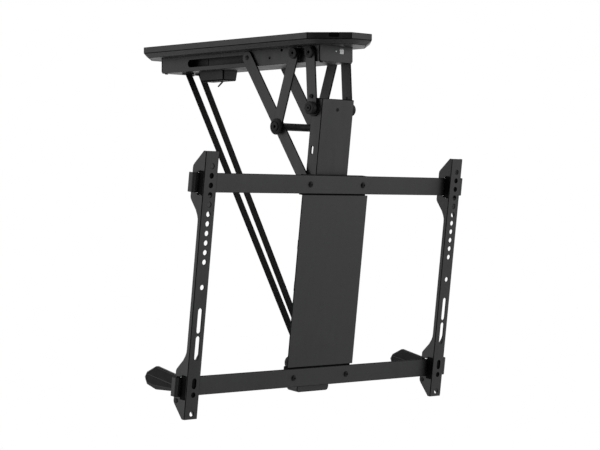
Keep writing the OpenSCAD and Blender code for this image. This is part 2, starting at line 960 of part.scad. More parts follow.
module slider_pins() {
    head_h = slider_pin_d * 0.3;
    color(black)
        both_sides() {
            cross_bar(slider, channel_in_x - roller_len - seat, inner_end_x, slider_pin_d);
            cross_bar(slider, inner_end_x, inner_end_x + head_h, slider_pin_d * 1.6);
        }
}

module slider_rollers() {
    color(zinc)
        both_sides()
            difference() {
                cross_bar(slider, channel_in_x - seat - roller_len, channel_in_x - seat, roller_d);
                cross_bar(slider, 0, channel_x, slider_pin_d + 2 * fit);
            }
}

module hip_caps() {
    cap_h = pivot_head_h;
    color(black)
        both_sides() {
            cross_bar(hip, inner_x + arm_t / 2, inner_end_x, shank_d);
            cross_bar(hip, inner_end_x, inner_end_x + cap_h, pivot_head_d);
        }
}

stop_place = head + (front_pivot - head) / norm(front_pivot - head) * stop_rise;

// The screws in the front arms that stop the column's head
module arm_stops() {
    color(black)
        both_sides() {
            cross_bar(stop_place, inner_x, inner_end_x, stop_d / 2);
            cross_bar(stop_place, inner_end_x, inner_end_x + stop_d / 3, stop_d);
        }
}

module front_arm() {
    color(steel)
        difference() {
            side_plate(inner_x, arm_t)
                bar_outline(front_pivot, head, front_arm_w);
            cross_bar(stop_place, inner_x - over, inner_end_x + over, stop_d / 2 + 2 * fit);
            cross_bar(front_pivot, inner_x - over, inner_end_x + over, shank_d + 2 * run);
            cross_bar(head, inner_x - over, inner_end_x + over, shaft_d + 2 * run);
        }
}

module front_arm_right() {
    front_arm();
}

module front_arm_left() {
    mirror([1, 0, 0])
        front_arm();
}

// The front view of the column, drawn in by inset, with round lower corners
module column_outline(inset) {
    x = column_x - inset;
    r = foot_r - inset;
    bottom = column_foot_z + inset;
    translate([-x, bottom + r])
        square([2 * x, column_rise - bottom - r]);
    translate([r - x, bottom])
        square([2 * (x - r), r]);
    for (side = [-1, 1])
        translate([side * (x - r), bottom + r])
            circle(r = r);
}

pivot_line = [[pivot_y, head_z], [pivot_y, foot_z]];

module column_channel() {
    color(steel)
        on_screen()
            difference() {
                front_plate(column_y, column_d)
                    column_outline(0);
                front_plate(column_y + column_wall, column_d) {
                    column_outline(column_wall);
                    translate([-column_x + column_wall, column_rise - over])
                        square([column_w - 2 * column_wall, 2 * over]);
                }
                for (p = pivot_line)
                    cross_bar(p, -column_x - over, column_x + over, shaft_d + 2 * fit);
                side_plate(-column_x - over, column_w + 2 * over)
                    translate([column_y + column_d * 0.6, side_slot_z])
                        slot_outline(side_slot_len, side_slot_w);
                translate([0, column_y - over, column_rise - head_drop])
                    rotate([-90, 0, 0])
                        cylinder(h = column_wall + 2 * over, d = panel_screw_d + 2 * fit);
            }
}

// The shaft at the column's head, with a cap screwed on at each end
module head_shaft() {
    cap_end_x = inner_head_x + head_cap_h;
    color(black) {
        cross_bar(head, -cap_end_x - shaft_d / 8, cap_end_x + shaft_d / 8, shaft_d);
        both_sides()
            difference() {
                cross_bar(head, inner_head_x, cap_end_x, head_cap_d);
                cross_bar(head, inner_head_x - over, cap_end_x + over, shaft_d);
            }
    }
}

module head_spacers() {
    color(black)
        both_sides()
            difference() {
                cross_bar(head, column_x, inner_x - seat, head_disc_d);
                cross_bar(head, column_x - over, inner_x + over, shaft_d + 2 * fit);
            }
}

module hip_pads() {
    color(black)
        both_sides()
            cross_bar(hip, column_x, inner_x - seat, pivot_head_d);
}

module foot_shaft() {
    color(zinc)
        cross_bar(foot, -column_x - foot_cap_len / 2, column_x + foot_cap_len / 2, shaft_d);
}

module foot_caps() {
    color(black)
        both_sides()
            difference() {
                cross_bar(foot, column_x, column_x + foot_cap_len, foot_cap_d);
                cross_bar(foot, column_x - over, column_x + foot_cap_len / 2 + fit, shaft_d + 2 * fit);
            }
}

module strap_anchors() {
    half = strap_foot_pitch / 2 - seat;
    color(plastic)
        both_sides()
            difference() {
                cross_bar(foot, strap_foot_pitch / 2 - half, strap_foot_pitch / 2 + half, 2 * anchor_r);
                cross_bar(foot, 0, strap_foot_pitch + over, shaft_d + 2 * fit);
            }
}

module column_ties() {
    rear = column_y + column_d;
    color(dark_steel)
        on_screen()
            for (i = [0 : 2])
                translate([0, 0, tie_low_z + i * tie_pitch]) {
                    translate([-column_x - tie_ear, rear, 0])
                        cube([column_w + 2 * tie_ear, column_wall, tie_h]);
                    for (side = [-1, 1])
                        translate([side * (column_x + tie_ear / 2) - tie_ear / 2, rear - tie_h / 2, 0])
                            cube([tie_ear, tie_h / 2, tie_h]);
                }
}

plate_gap = 0.7 * rail_t;

module centre_plate() {
    h = rail_pitch - rail_h - 2 * plate_gap;
    color(steel)
        on_screen()
            translate([-centre_plate_w / 2, centre_plate_y, -rail_h - plate_gap - h])
                cube([centre_plate_w, centre_plate_t, h]);
}

module plate_carrier() {
    x = column_x * 0.75;
    y0 = centre_plate_y + centre_plate_t;
    h = (rail_pitch - rail_h) * 0.8;
    color(dark_steel)
        on_screen()
            translate([0, 0, -(rail_h + rail_pitch + h) / 2])
                difference() {
                    translate([-x, y0, 0])
                        cube([2 * x, column_y - y0, h]);
                    translate([-x + column_wall, y0 + column_wall, -over])
                        cube([2 * (x - column_wall), column_y, h + 2 * over]);
                }
}

// The top view of a rail's front with its two bends, drawn in by inset
module rail_bend(inset) {
    half = rail_len / 2 - inset;
    r = 1.6 * rail_t - inset;
    translate([r - half, inset])
        square([2 * (half - r), rail_stand]);
    translate([-half, inset + r])
        square([2 * half, rail_stand]);
    for (side = [-1, 1])
        translate([side * (half - r), inset + r])
            circle(r = r);
}

// A rail whose top edge is at z: a flat bar with its ends bent to the rear
module rail(z) {
    color(steel)
        on_screen()
            translate([0, 0, z - rail_h])
                difference() {
                    linear_extrude(rail_h)
                        difference() {
                            rail_bend(0);
                            rail_bend(rail_t);
                            translate([-rail_len, rail_tab_d])
                                square([2 * rail_len, 2 * rail_stand]);
                        }
                    for (x = [-1, 1])
                        translate([x * rail_bolt_pitch / 2, -over, rail_h / 2])
                            rotate([-90, 0, 0])
                                cylinder(h = rail_t + 2 * over, d = rail_bolt_d + 2 * fit);
                }
}

module top_rail() {
    rail(0);
}

module bottom_rail() {
    rail(-rail_pitch);
}

module rail_cleats() {
    lip_y = centre_plate_y + centre_plate_t;
    color(dark_steel)
        on_screen()
            for (place = [[0, -1], [-rail_pitch, 1]])
                translate([0, 0, place[0] - rail_h / 2])
                    difference() {
                        union() {
                            translate([-cleat_len / 2, rail_t, -rail_h / 2])
                                cube([cleat_len, rail_stand - rail_t, rail_h]);
                            translate([-cleat_len / 2, lip_y, -rail_h / 2 + place[1] * cleat_lip])
                                cube([cleat_len, rail_stand - lip_y, rail_h]);
                        }
                        for (x = [-1, 1])
                            translate([x * rail_bolt_pitch / 2, 0, 0])
                                rotate([-90, 0, 0])
                                    cylinder(h = rail_stand + over, d = rail_bolt_d + 2 * fit);
                    }
}

module column_fasteners() {
    head_h = rail_bolt_d * 0.45;
    color(black)
        on_screen() {
            for (x = [-1, 1], z = [0, -rail_pitch])
                translate([x * rail_bolt_pitch / 2, 0, z - rail_h / 2])
                    rotate([-90, 0, 0]) {
                        cylinder(h = rail_stand, d = rail_bolt_d);
                        translate([0, 0, -head_h])
                            cylinder(h = head_h, d = 1.7 * rail_bolt_d);
                    }
            translate([0, column_y, column_rise - head_drop])
                rotate([-90, 0, 0]) {
                    cylinder(h = column_wall, d = panel_screw_d);
                    translate([0, 0, -panel_screw_d / 3])
                        cylinder(h = panel_screw_d / 3, d = 2 * panel_screw_d);
                }
        }
}

// The rear edge of a flange beyond a rail: distances from the rail's edge as shares of
// hook_run, and depths as shares of what the flange is deeper beside the rail
hook_shares = [
    [0.17, 1], [0.23, 0.97], [0.3, 0.86], [0.45, 0.58],
    [0.6, 0.3], [0.77, 0.1], [0.88, 0.02], [1, 0]];
flange_back = flange_d - bracket_front;
hook_back = hook_d - bracket_front;

// A point of that edge, from the rail's edge at z upwards or downwards
function hook_point(z, way, share) = [
    flange_back + (hook_back - flange_back) * share[1], z + way * hook_run * share[0]];

// The side view of a bracket: its web stands in front, its hooks reach behind the rails
module flange_outline() {
    front = -bracket_front;
    tip = flange_back - flange_d / 6;
    top = bracket_rise;
    low = bracket_rise - bracket_len;
    last = len(hook_shares) - 1;
    polygon(concat(
        [[front, low], [front, top], [tip, top]],
        [for (i = [2 : -1 : 0]) hook_point(0, 1, hook_shares[i])],
        [for (i = [0 : last]) hook_point(-rail_h, -1, hook_shares[i])],
        [for (i = [last : -1 : 0]) hook_point(-rail_pitch, 1, hook_shares[i])],
        [for (i = [0 : 2]) hook_point(-rail_pitch - rail_h, -1, hook_shares[i])],
        [[tip, low]]));
}

// What the flange leaves free for the two rails: the upper one hangs in a hook, and both
// openings have room for a pad in front of the rail
module rail_notches() {
    for (z = [0, -rail_pitch]) {
        translate([bracket_wall - bracket_front, z - rail_h - pad_lip])
            square([bracket_front - bracket_wall - seat, rail_h + 2 * pad_lip]);
        translate([-2 * seat, z - rail_h - seat])
            square([rail_t + 3 * seat, rail_h + 2 * seat]);
    }
    translate([-2 * seat, -rail_h - seat])
        square([hook_d, rail_h / 2]);
    translate([-2 * seat, -rail_pitch - rail_h - seat])
        square([hook_d, rail_h + 2 * seat]);
}

// The two pads of a bracket, between its web and the rails
module bracket_pads(x) {
    lip = pad_lip - fit;
    color(black)
        on_screen()
            for (z = [0, -rail_pitch])
                translate([x - bracket_w / 2 + fit, bracket_wall - bracket_front, z - rail_h - lip])
                    cube([bracket_w - 2 * fit, bracket_front - bracket_wall - seat, rail_h + 2 * lip]);
}

module bracket_pads_left() {
    bracket_pads(left_bracket_x);
}

module bracket_pads_right() {
    bracket_pads(right_bracket_x);
}

lever_hub_y = rail_stand / 2 + lever_pin_d / 3;
lever_hub_z = -rail_pitch - rail_h - lever_hub_d / 2 - 3 * seat;
lever_hub = [lever_hub_y, lever_hub_z];

module bracket(x) {
    low = bracket_rise - bracket_len;
    top_hole_z = vesa_hole_rise;
    // Places of the long slots, the single holes and the short slot below the row of holes,
    // as shares of the distance from the highest hole to the lowest
    slot_shares = [[0.622, 0.1015], [0.733, 0.098], [0.877, 0.042]];
    hole_shares = [0.487, 0.923, 1];
    color(steel)
        on_screen()
            translate([x, 0, 0])
                difference() {
                    side_plate(-bracket_w / 2, bracket_w)
                        difference() {
                            flange_outline();
                            rail_notches();
                        }
                    translate([-bracket_w / 2 + bracket_wall, -bracket_front + bracket_wall, low - over])
                        cube([bracket_w - 2 * bracket_wall, bracket_len, bracket_len + 2 * over]);
                    for (i = [0 : 10])
                        bracket_hole(top_hole_z - i * vesa_hole_pitch);
                    for (share = hole_shares)
                        bracket_hole(top_hole_z - share * vesa_h);
                    for (slot = slot_shares)
                        front_plate(-bracket_front - over, bracket_wall + 2 * over)
                            translate([vesa_hole_shift, top_hole_z - slot[0] * vesa_h])
                                slot_outline(slot[1] * vesa_h, vesa_hole_d);
                    cross_bar(lever_hub, -bracket_w, bracket_w, lever_pin_d + 2 * fit);
                }
}

module bracket_hole(z) {
    translate([vesa_hole_shift, -bracket_front - over, z])
        rotate([-90, 0, 0])
            cylinder(h = bracket_wall + 2 * over, d = vesa_hole_d);
}

module bracket_left() {
    bracket(left_bracket_x);
}

module bracket_right() {
    bracket(right_bracket_x);
}

// The side view of a lever's grip as shares of its reach and of its height from the top,
// and the flat panel on its sides; both start at the grip's root
grip_shares = [[0.74, 0], [0.95, 0.33], [1, 0.57], [0.93, 0.87], [0.7, 1]];
grip_root_shares = [0.17, 0.85];
panel_shares = [[0.79, 0.42], [0.93, 0.4], [0.94, 0.66], [0.887, 0.8], [0.726, 0.84]];
panel_root_shares = [0.6, 0.76];

// An outline of the grip from such shares
module grip_outline(shares, root_shares) {
    root = rail_stand + seat + lever_cut;
    top = -rail_pitch + lever_h / 7;
    polygon(concat(
        [[root, top - root_shares[0] * lever_h]],
        [for (p = shares) [p[0] * lever_reach, top - p[1] * lever_h]],
        [[root, top - root_shares[1] * lever_h]]));
}

module latch_lever(x) {
    web = lever_w / 2;
    tip = rail_t + 2 * seat;
    root = rail_stand + 2 * lever_cut;
    color(black)
        on_screen()
            translate([x + lever_shift, 0, 0])
                difference() {
                    union() {
                        hull() {
                            side_plate(lever_cut - lever_w / 2, lever_w - 2 * lever_cut)
                                grip_outline(grip_shares, grip_root_shares);
                            side_plate(-lever_w / 2, lever_w)
                                grip_outline(panel_shares, panel_root_shares);
                        }
                        side_plate(-web / 2, web)
                            polygon([
                                [tip, -rail_pitch - rail_h / 4], [root, -rail_pitch - rail_h / 4],
                                [root, -rail_pitch - rail_h], [lever_hub_y, lever_hub_z - lever_hub_d / 2],
                                lever_hub, [tip, lever_hub_z + lever_hub_d / 2]]);
                        cross_bar(lever_hub, -lever_w / 2, lever_w / 2, lever_hub_d);
                    }
                    cross_bar(lever_hub, -lever_w, lever_w, lever_pin_d + 2 * run);
                }
}

module latch_lever_left() {
    latch_lever(left_bracket_x);
}

module latch_lever_right() {
    latch_lever(right_bracket_x);
}

// The pin of a lever with the two riveted ends
module latch_hinge(x) {
    color(black)
        on_screen()
            translate([x, 0, 0]) {
                cross_bar(lever_hub, -bracket_w / 2 - fit, bracket_w / 2 + fit, lever_pin_d);
                both_sides()
                    cross_bar(lever_hub, bracket_w / 2, bracket_w / 2 + lever_pin_d / 4, 1.5 * lever_pin_d);
            }
}

module latch_hinge_left() {
    latch_hinge(left_bracket_x);
}

module latch_hinge_right() {
    latch_hinge(right_bracket_x);
}

ceiling_plate();
tray_cover();
channel_housing();
front_panel();
rear_panel();
ir_window();
status_led();
notch_plug();
housing_bolts();
panel_screws();
control_board();
board_standoffs();
power_supply();
winch_motor();
motor_clamps();
winch_gearbox();
drum_bearings();
strap_leads();
strap_guides();
receiver_case();
receiver_antenna();
pivot_bolts();
pivot_spacers();
drum_shaft();
strap_spools();
short_arm_left();
short_arm_right();
long_arm_left();
long_arm_right();
cross_tube();
knee_bolts();
slider_pins();
slider_rollers();
hip_caps();
front_arm_left();
front_arm_right();
arm_stops();
column_channel();
head_shaft();
head_spacers();
hip_pads();
foot_shaft();
foot_caps();
strap_anchors();
column_ties();
centre_plate();
plate_carrier();
top_rail();
bottom_rail();
rail_cleats();
column_fasteners();
lift_straps();
bracket_left();
bracket_right();
bracket_pads_left();
bracket_pads_right();
latch_lever_left();
latch_lever_right();
latch_hinge_left();
latch_hinge_right();
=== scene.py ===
import json
import math

import bmesh
import bpy
from mathutils import Matrix, Vector


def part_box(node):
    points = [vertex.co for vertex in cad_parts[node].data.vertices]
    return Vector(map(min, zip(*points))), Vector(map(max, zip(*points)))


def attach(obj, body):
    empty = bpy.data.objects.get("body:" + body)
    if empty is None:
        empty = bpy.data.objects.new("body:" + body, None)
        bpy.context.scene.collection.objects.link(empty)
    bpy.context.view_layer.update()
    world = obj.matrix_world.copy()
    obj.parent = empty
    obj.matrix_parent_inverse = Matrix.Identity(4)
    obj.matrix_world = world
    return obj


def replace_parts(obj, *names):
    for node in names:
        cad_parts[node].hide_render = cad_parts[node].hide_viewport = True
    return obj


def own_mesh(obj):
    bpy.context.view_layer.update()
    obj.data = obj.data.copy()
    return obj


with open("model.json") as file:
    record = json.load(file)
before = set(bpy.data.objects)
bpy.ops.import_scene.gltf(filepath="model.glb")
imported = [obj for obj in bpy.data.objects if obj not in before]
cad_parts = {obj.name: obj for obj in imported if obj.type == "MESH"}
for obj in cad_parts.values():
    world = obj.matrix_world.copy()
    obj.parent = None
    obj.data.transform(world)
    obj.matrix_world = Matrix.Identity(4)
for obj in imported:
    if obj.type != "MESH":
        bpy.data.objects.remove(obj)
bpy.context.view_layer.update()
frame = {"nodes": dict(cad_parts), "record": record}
mm = 0.001

homeBody = {name: body for body, names in frame["record"]["behaviour"]["bodies"].items() for name in names}
homeSlot = {part["node"]: part["material_slot"] for part in frame["record"]["subparts"]}
print("packed model loaded:", len(frame["nodes"]), "nodes")


# Camera

photoCamera = {
    "place": (-2.4761, -2.5546, -0.3174),
    "yaw": 45.41,  # from +Y towards +X
    "pitch": -0.09,
    "roll": -0.09,
    "lens": 120.378,
}


def placeCamera():
    data = bpy.data.cameras.new("photoCamera")
    data.lens = photoCamera["lens"]
    data.sensor_width = 36
    data.clip_start, data.clip_end = 0.1, 60
    camera = bpy.data.objects.new("photoCamera", data)
    bpy.context.scene.collection.objects.link(camera)
    turn = Matrix.Rotation(math.radians(-photoCamera["yaw"]), 4, "Z")
    turn = turn @ Matrix.Rotation(math.radians(90 + photoCamera["pitch"]), 4, "X")
    turn = turn @ Matrix.Rotation(math.radians(photoCamera["roll"]), 4, "Z")
    camera.matrix_world = Matrix.Translation(photoCamera["place"]) @ turn
    bpy.context.scene.camera = camera


placeCamera()
print("camera placed")


# Shader nodes

def put(tree, kind, inputs=None, **settings):
    made = tree.nodes.new("ShaderNode" + kind)
    for key, value in settings.items():
        setattr(made, key, value)
    for socket, value in (inputs or {}).items():
        if isinstance(value, bpy.types.NodeSocket):
            tree.links.new(value, made.inputs[socket])
        else:
            made.inputs[socket].default_value = value
    return made


def calc(tree, operation, first, second=0.5, third=0.5):
    return put(tree, "Math", {0: first, 1: second, 2: third}, operation=operation).outputs[0]


def remap(tree, value, low, high, toLow=0.0, toHigh=1.0, kind="SMOOTHSTEP"):
    ends = {"Value": value, "From Min": low, "From Max": high, "To Min": toLow, "To Max": toHigh}
    return put(tree, "MapRange", ends, interpolation_type=kind).outputs["Result"]


def blendColours(tree, share, first, second):
    made = put(tree, "Mix", data_type="RGBA")
    for socket, value in ((0, share), (6, first), (7, second)):
        if isinstance(value, bpy.types.NodeSocket):
            tree.links.new(value, made.inputs[socket])
        else:
            made.inputs[socket].default_value = value if socket == 0 else (*value, 1)
    return made.outputs[2]


def noise(tree, vector, scale, detail, roughness=0.5):
    ends = {"Vector": vector, "Scale": scale, "Detail": detail, "Roughness": roughness}
    return put(tree, "TexNoise", ends).outputs["Fac"]


def times(tree, *values):
    product = values[0]
    for value in values[1:]:
        product = calc(tree, "MULTIPLY", product, value)
    return product


def startGroup(name, inputs, outputs):
    tree = bpy.data.node_groups.new(name, "ShaderNodeTree")
    for title, kind, value in inputs:
        socket = tree.interface.new_socket(title, in_out="INPUT", socket_type="NodeSocket" + kind)
        if value is not None:
            socket.default_value = value
    for title, kind in outputs:
        tree.interface.new_socket(title, in_out="OUTPUT", socket_type="NodeSocket" + kind)
    return tree, tree.nodes.new("NodeGroupInput").outputs, tree.nodes.new("NodeGroupOutput").inputs


def makeCoatGrain():
    # Orange peel of a sprayed or moulded surface: fine pimples on a slower wave
    tree, given, result = startGroup(
        "coatGrain",
        [("Vector", "Vector", None), ("Pimples", "Float", 900.0), ("Wave", "Float", 120.0)],
        [("Height", "Float"), ("Speckle", "Float")],
    )
    fineShare = 0.65
    fine = noise(tree, given["Vector"], given["Pimples"], 3.0, 0.6)
    slow = noise(tree, given["Vector"], given["Wave"], 2.0)
    height = calc(tree, "MULTIPLY_ADD", fine, fineShare, times(tree, slow, 1 - fineShare))
    tree.links.new(height, result["Height"])
    tree.links.new(remap(tree, fine, 0.52, 0.72), result["Speckle"])
    return tree


def makeToneDrift():
    # Slow changes of shade over a surface, with faint streaks down it
    tree, given, result = startGroup(
        "toneDrift",
        [("Vector", "Vector", None), ("Scale", "Float", 9.0), ("Streaks", "Float", 0.3)],
        [("Drift", "Float")],
    )
    clouds = noise(tree, given["Vector"], given["Scale"], 5.0, 0.62)
    squeezed = put(tree, "Mapping", {"Vector": given["Vector"], "Scale": (70.0, 70.0, 6.0)})
    streaks = noise(tree, squeezed.outputs["Vector"], 1.0, 3.0)
    mixed = put(tree, "Mix", {0: given["Streaks"], 2: clouds, 3: streaks}, data_type="FLOAT")
    tree.links.new(remap(tree, mixed.outputs[0], 0.32, 0.68), result["Drift"])
    return tree


def makePaintedEdgeShadeAndWear():
    # Bevels and cut edges: painted shade, nearly black, with a few rubbed glints where the coat is worn
    # through
    tree, given, result = startGroup(
        "paintedEdgeShadeAndWear",
        [("Vector", "Vector", None), ("Amount", "Float", 0.4), ("Scale", "Float", 60.0)],
        [("Dark", "Float"), ("Wear", "Float")],
    )
    edge = put(tree, "Attribute", attribute_name="edgeShade", attribute_type="GEOMETRY").outputs["Fac"]
    chips = noise(tree, given["Vector"], given["Scale"], 6.0, 0.7)
    shadePatches = remap(tree, chips, 0.3, 0.6, 0.8, 1.0)
    glint = remap(tree, chips, 0.60, 0.72)
    # Dark is the painted shade on the marked edges; Wear is real rubbing
    tree.links.new(times(tree, edge, shadePatches), result["Dark"])
    tree.links.new(times(tree, edge, glint, given["Amount"]), result["Wear"])
    return tree


def makeFineDust():
    # Dust lies on faces that look up, thicker in some places
    tree, given, result = startGroup(
        "fineDust",
        [("Vector", "Vector", None), ("Amount", "Float", 0.3)],
        [("Dust", "Float")],
    )
    facing = put(tree, "SeparateXYZ", {0: put(tree, "NewGeometry").outputs["Normal"]})
    upwards = remap(tree, facing.outputs["Z"], 0.35, 0.95)
    patches = noise(tree, given["Vector"], 38.0, 8.0, 0.72)
    cover = remap(tree, patches, 0.3, 0.75, 0.25, 1.0)
    tree.links.new(times(tree, upwards, cover, given["Amount"]), result["Dust"])
    return tree


def makeHairScratches():
    # Thin crossing rub marks
    tree, given, result = startGroup(
        "hairScratches",
        [("Vector", "Vector", None), ("Scale", "Float", 40.0), ("Amount", "Float", 0.5)],
        [("Scratch", "Float")],
    )
    total = None
    for tilt, stretch in (((0.3, 0.5, 0.2), (1.0, 26.0, 3.0)), ((1.1, -0.4, 0.9), (22.0, 1.0, 2.0))):
        laid = put(tree, "Mapping", {"Vector": given["Vector"], "Rotation": tilt, "Scale": stretch})
        lines = noise(tree, laid.outputs["Vector"], given["Scale"], 2.0)
        away = calc(tree, "ABSOLUTE", calc(tree, "SUBTRACT", lines, 0.5))
        mark = remap(tree, away, 0.0, 0.012, 1.0, 0.0)
        total = mark if total is None else calc(tree, "MAXIMUM", total, mark)
    gate = noise(tree, given["Vector"], 14.0, 2.0)
    tree.links.new(times(tree, total, remap(tree, gate, 0.5, 0.7), given["Amount"]), result["Scratch"])
    return tree


def makeBandWeave():
    # Woven strap, on a map in metres: yarns along it that pass over and under the cross yarns
    tree, given, result = startGroup(
        "bandWeave",
        [("Vector", "Vector", None), ("Pitch", "Float", 0.0012)],
        [("Height", "Float"), ("Shade", "Float")],
    )
    parts = put(tree, "SeparateXYZ", {0: given["Vector"]})
    across = calc(tree, "DIVIDE", parts.outputs["X"], given["Pitch"])
    stitchLength = 1.9  # in yarn widths
    along = calc(tree, "DIVIDE", parts.outputs["Y"], times(tree, given["Pitch"], stitchLength))
    row = calc(tree, "ABSOLUTE", calc(tree, "FLOOR", across))
    odd = times(tree, calc(tree, "MODULO", row, 2.0), 0.5)
    crown = calc(tree, "SINE", times(tree, calc(tree, "FRACT", across), math.pi))
    swell = calc(tree, "SINE", times(tree, calc(tree, "FRACT", calc(tree, "ADD", along, odd)), math.pi))
    yarn = times(tree, crown, calc(tree, "MULTIPLY_ADD", swell, 0.75, 0.25))
    fuzz = noise(tree, given["Vector"], 2600.0, 4.0)
    tree.links.new(calc(tree, "MULTIPLY_ADD", fuzz, 0.18, yarn), result["Height"])
    # Shade is painted shade and light: darker in the gaps between yarns, lighter on their crowns, flecked by
    # fuzz
    shade = remap(tree, calc(tree, "MULTIPLY_ADD", fuzz, 0.3, yarn), 0.15, 1.1)
    tree.links.new(shade, result["Shade"])
    return tree


coatGrain, toneDrift, paintedEdgeShadeAndWear = makeCoatGrain(), makeToneDrift(), makePaintedEdgeShadeAndWear()
fineDust, hairScratches, bandWeave = makeFineDust(), makeHairScratches(), makeBandWeave()


def use(tree, group, inputs):
    made = put(tree, "Group", node_tree=group)
    for socket, value in inputs.items():
        if isinstance(value, bpy.types.NodeSocket):
            tree.links.new(value, made.inputs[socket])
        else:
            made.inputs[socket].default_value = value
    return made.outputs


def startMaterial(name):
    material = bpy.data.materials.new(name)
    material.use_nodes = True
    tree = material.node_tree
    shader = tree.nodes["Principled BSDF"]
    return material, tree, shader, put(tree, "TexCoord").outputs["Object"]


# Finishes

coats = {
    "satinSteelCoat": {
        "deep": (0.0066, 0.0067, 0.0070), "pale": (0.0205, 0.0206, 0.0212), "rubbed": (0.10, 0.10, 0.105),
        "rough": (0.34, 0.54), "pimples": 700.0, "wave": 110.0, "bump": 0.24, "drift": 7.0, "streaks": 0.3,
        "wear": 0.3, "dust": 0.12, "scratch": 0.25, "specular": 0.43,
    },
    "darkSteelCoat": {
        "deep": (0.0060, 0.0061, 0.0064), "pale": (0.0120, 0.0121, 0.0125), "rubbed": (0.08, 0.08, 0.085),
        "rough": (0.44, 0.62), "pimples": 760.0, "wave": 130.0, "bump": 0.2, "drift": 9.0, "streaks": 0.3,
        "wear": 0.3, "dust": 0.14, "scratch": 0.3, "specular": 0.34,
    },
    "blackOxide": {
        "deep": (0.0026, 0.0026, 0.0028), "pale": (0.0066, 0.0066, 0.0070), "rubbed": (0.07, 0.068, 0.066),
        "rough": (0.44, 0.62), "pimples": 1500.0, "wave": 300.0, "bump": 0.12, "drift": 60.0, "streaks": 0.1,
        "wear": 0.4, "dust": 0.06, "scratch": 0.4, "specular": 0.24,
    },
    "mouldedPlastic": {
        "deep": (0.0046, 0.0046, 0.0048), "pale": (0.0086, 0.0086, 0.0089), "rubbed": (0.03, 0.03, 0.031),
        "rough": (0.48, 0.62), "pimples": 1900.0, "wave": 420.0, "bump": 0.3, "drift": 26.0, "streaks": 0.05,
        "wear": 0.25, "dust": 0.12, "scratch": 0.2, "specular": 0.36,
    },
    "gripPlastic": {
        "deep": (0.0042, 0.0043, 0.0045), "pale": (0.0086, 0.0087, 0.0090), "rubbed": (0.035, 0.035, 0.036),
        "rough": (0.42, 0.58), "pimples": 1300.0, "wave": 240.0, "bump": 0.35, "drift": 18.0, "streaks": 0.05,
        "wear": 0.3, "dust": 0.10, "scratch": 0.35, "specular": 0.36,
    },
    "gripRubber": {
        "deep": (0.0028, 0.0028, 0.0030), "pale": (0.0058, 0.0058, 0.0060), "rubbed": (0.02, 0.02, 0.02),
        "rough": (0.55, 0.70), "pimples": 1500.0, "wave": 260.0, "bump": 0.4, "drift": 22.0, "streaks": 0.05,
        "wear": 0.2, "dust": 0.06, "scratch": 0.2, "specular": 0.22,
    },
    "softRubber": {
        "deep": (0.0012, 0.0012, 0.0013), "pale": (0.0028, 0.0028, 0.0029), "rubbed": (0.012, 0.012, 0.012),
        "rough": (0.70, 0.85), "pimples": 1700.0, "wave": 300.0, "bump": 0.3, "drift": 30.0, "streaks": 0.05,
        "wear": 0.1, "dust": 0.04, "scratch": 0.1, "specular": 0.10,
    },
}

coatMix = {  # what every coat shares
    "speckleGain": 1.9, "speckleShare": 0.35,
    # Painted shade on bevels and cut edges: dark, dull and without the coat's own shine
    "edgeShadeGain": 0.25, "edgeShadeMetallic": 0.8, "edgeShadeRough": 0.32,
    "scratchShare": 0.5, "scratchPolish": 0.12, "scratchDepth": 0.6,
    "dustColour": (0.20, 0.19, 0.175), "dustRough": 0.4,
}


def setSurface(tree, shader, base, rough, height, strength, distance):
    tree.links.new(base, shader.inputs["Base Color"])
    tree.links.new(rough, shader.inputs["Roughness"])
    bump = put(tree, "Bump", {"Height": height, "Strength": strength, "Distance": distance})
    tree.links.new(bump.outputs["Normal"], shader.inputs["Normal"])


def makeCoat(name):
    finish = coats[name]
    material, tree, shader, place = startMaterial(name)
    grain = use(tree, coatGrain, {"Vector": place, "Pimples": finish["pimples"], "Wave": finish["wave"]})
    clouding = {"Vector": place, "Scale": finish["drift"], "Streaks": finish["streaks"]}
    drift = use(tree, toneDrift, clouding)["Drift"]
    edge = use(tree, paintedEdgeShadeAndWear, {"Vector": place, "Amount": finish["wear"]})
    dust = use(tree, fineDust, {"Vector": place, "Amount": finish["dust"]})["Dust"]
    scratch = use(tree, hairScratches, {"Vector": place, "Amount": finish["scratch"]})["Scratch"]
    mix = coatMix
    lighter = tuple(mix["speckleGain"] * c for c in finish["pale"])
    edgeShadeColour = tuple(mix["edgeShadeGain"] * c for c in finish["deep"])
    rubbed = calc(tree, "MAXIMUM", edge["Wear"], times(tree, scratch, mix["scratchShare"]))
    coat = blendColours(tree, drift, finish["deep"], finish["pale"])
    coat = blendColours(tree, times(tree, grain["Speckle"], mix["speckleShare"]), coat, lighter)
    # Painted shade on the marked bevels, bends and cut edges
    coat = blendColours(tree, edge["Dark"], coat, edgeShadeColour)
    coat = blendColours(tree, rubbed, coat, finish["rubbed"])
    coat = blendColours(tree, dust, coat, mix["dustColour"])
    # Near-black metal there keeps the coat's reflection off the painted shade
    tree.links.new(times(tree, edge["Dark"], mix["edgeShadeMetallic"]), shader.inputs["Metallic"])
    rough = remap(tree, drift, 0.0, 1.0, finish["rough"][0], finish["rough"][1], "LINEAR")
    rough = calc(tree, "SUBTRACT", rough, times(tree, scratch, mix["scratchPolish"]))
    rough = calc(tree, "MULTIPLY_ADD", edge["Dark"], mix["edgeShadeRough"], rough)
    rough = calc(tree, "MULTIPLY_ADD", dust, mix["dustRough"], rough)
    surface = calc(tree, "SUBTRACT", grain["Height"], times(tree, scratch, mix["scratchDepth"]))
    setSurface(tree, shader, coat, rough, surface, finish["bump"], 0.2 * mm)
    shader.inputs["Specular IOR Level"].default_value = finish["specular"]
    return material


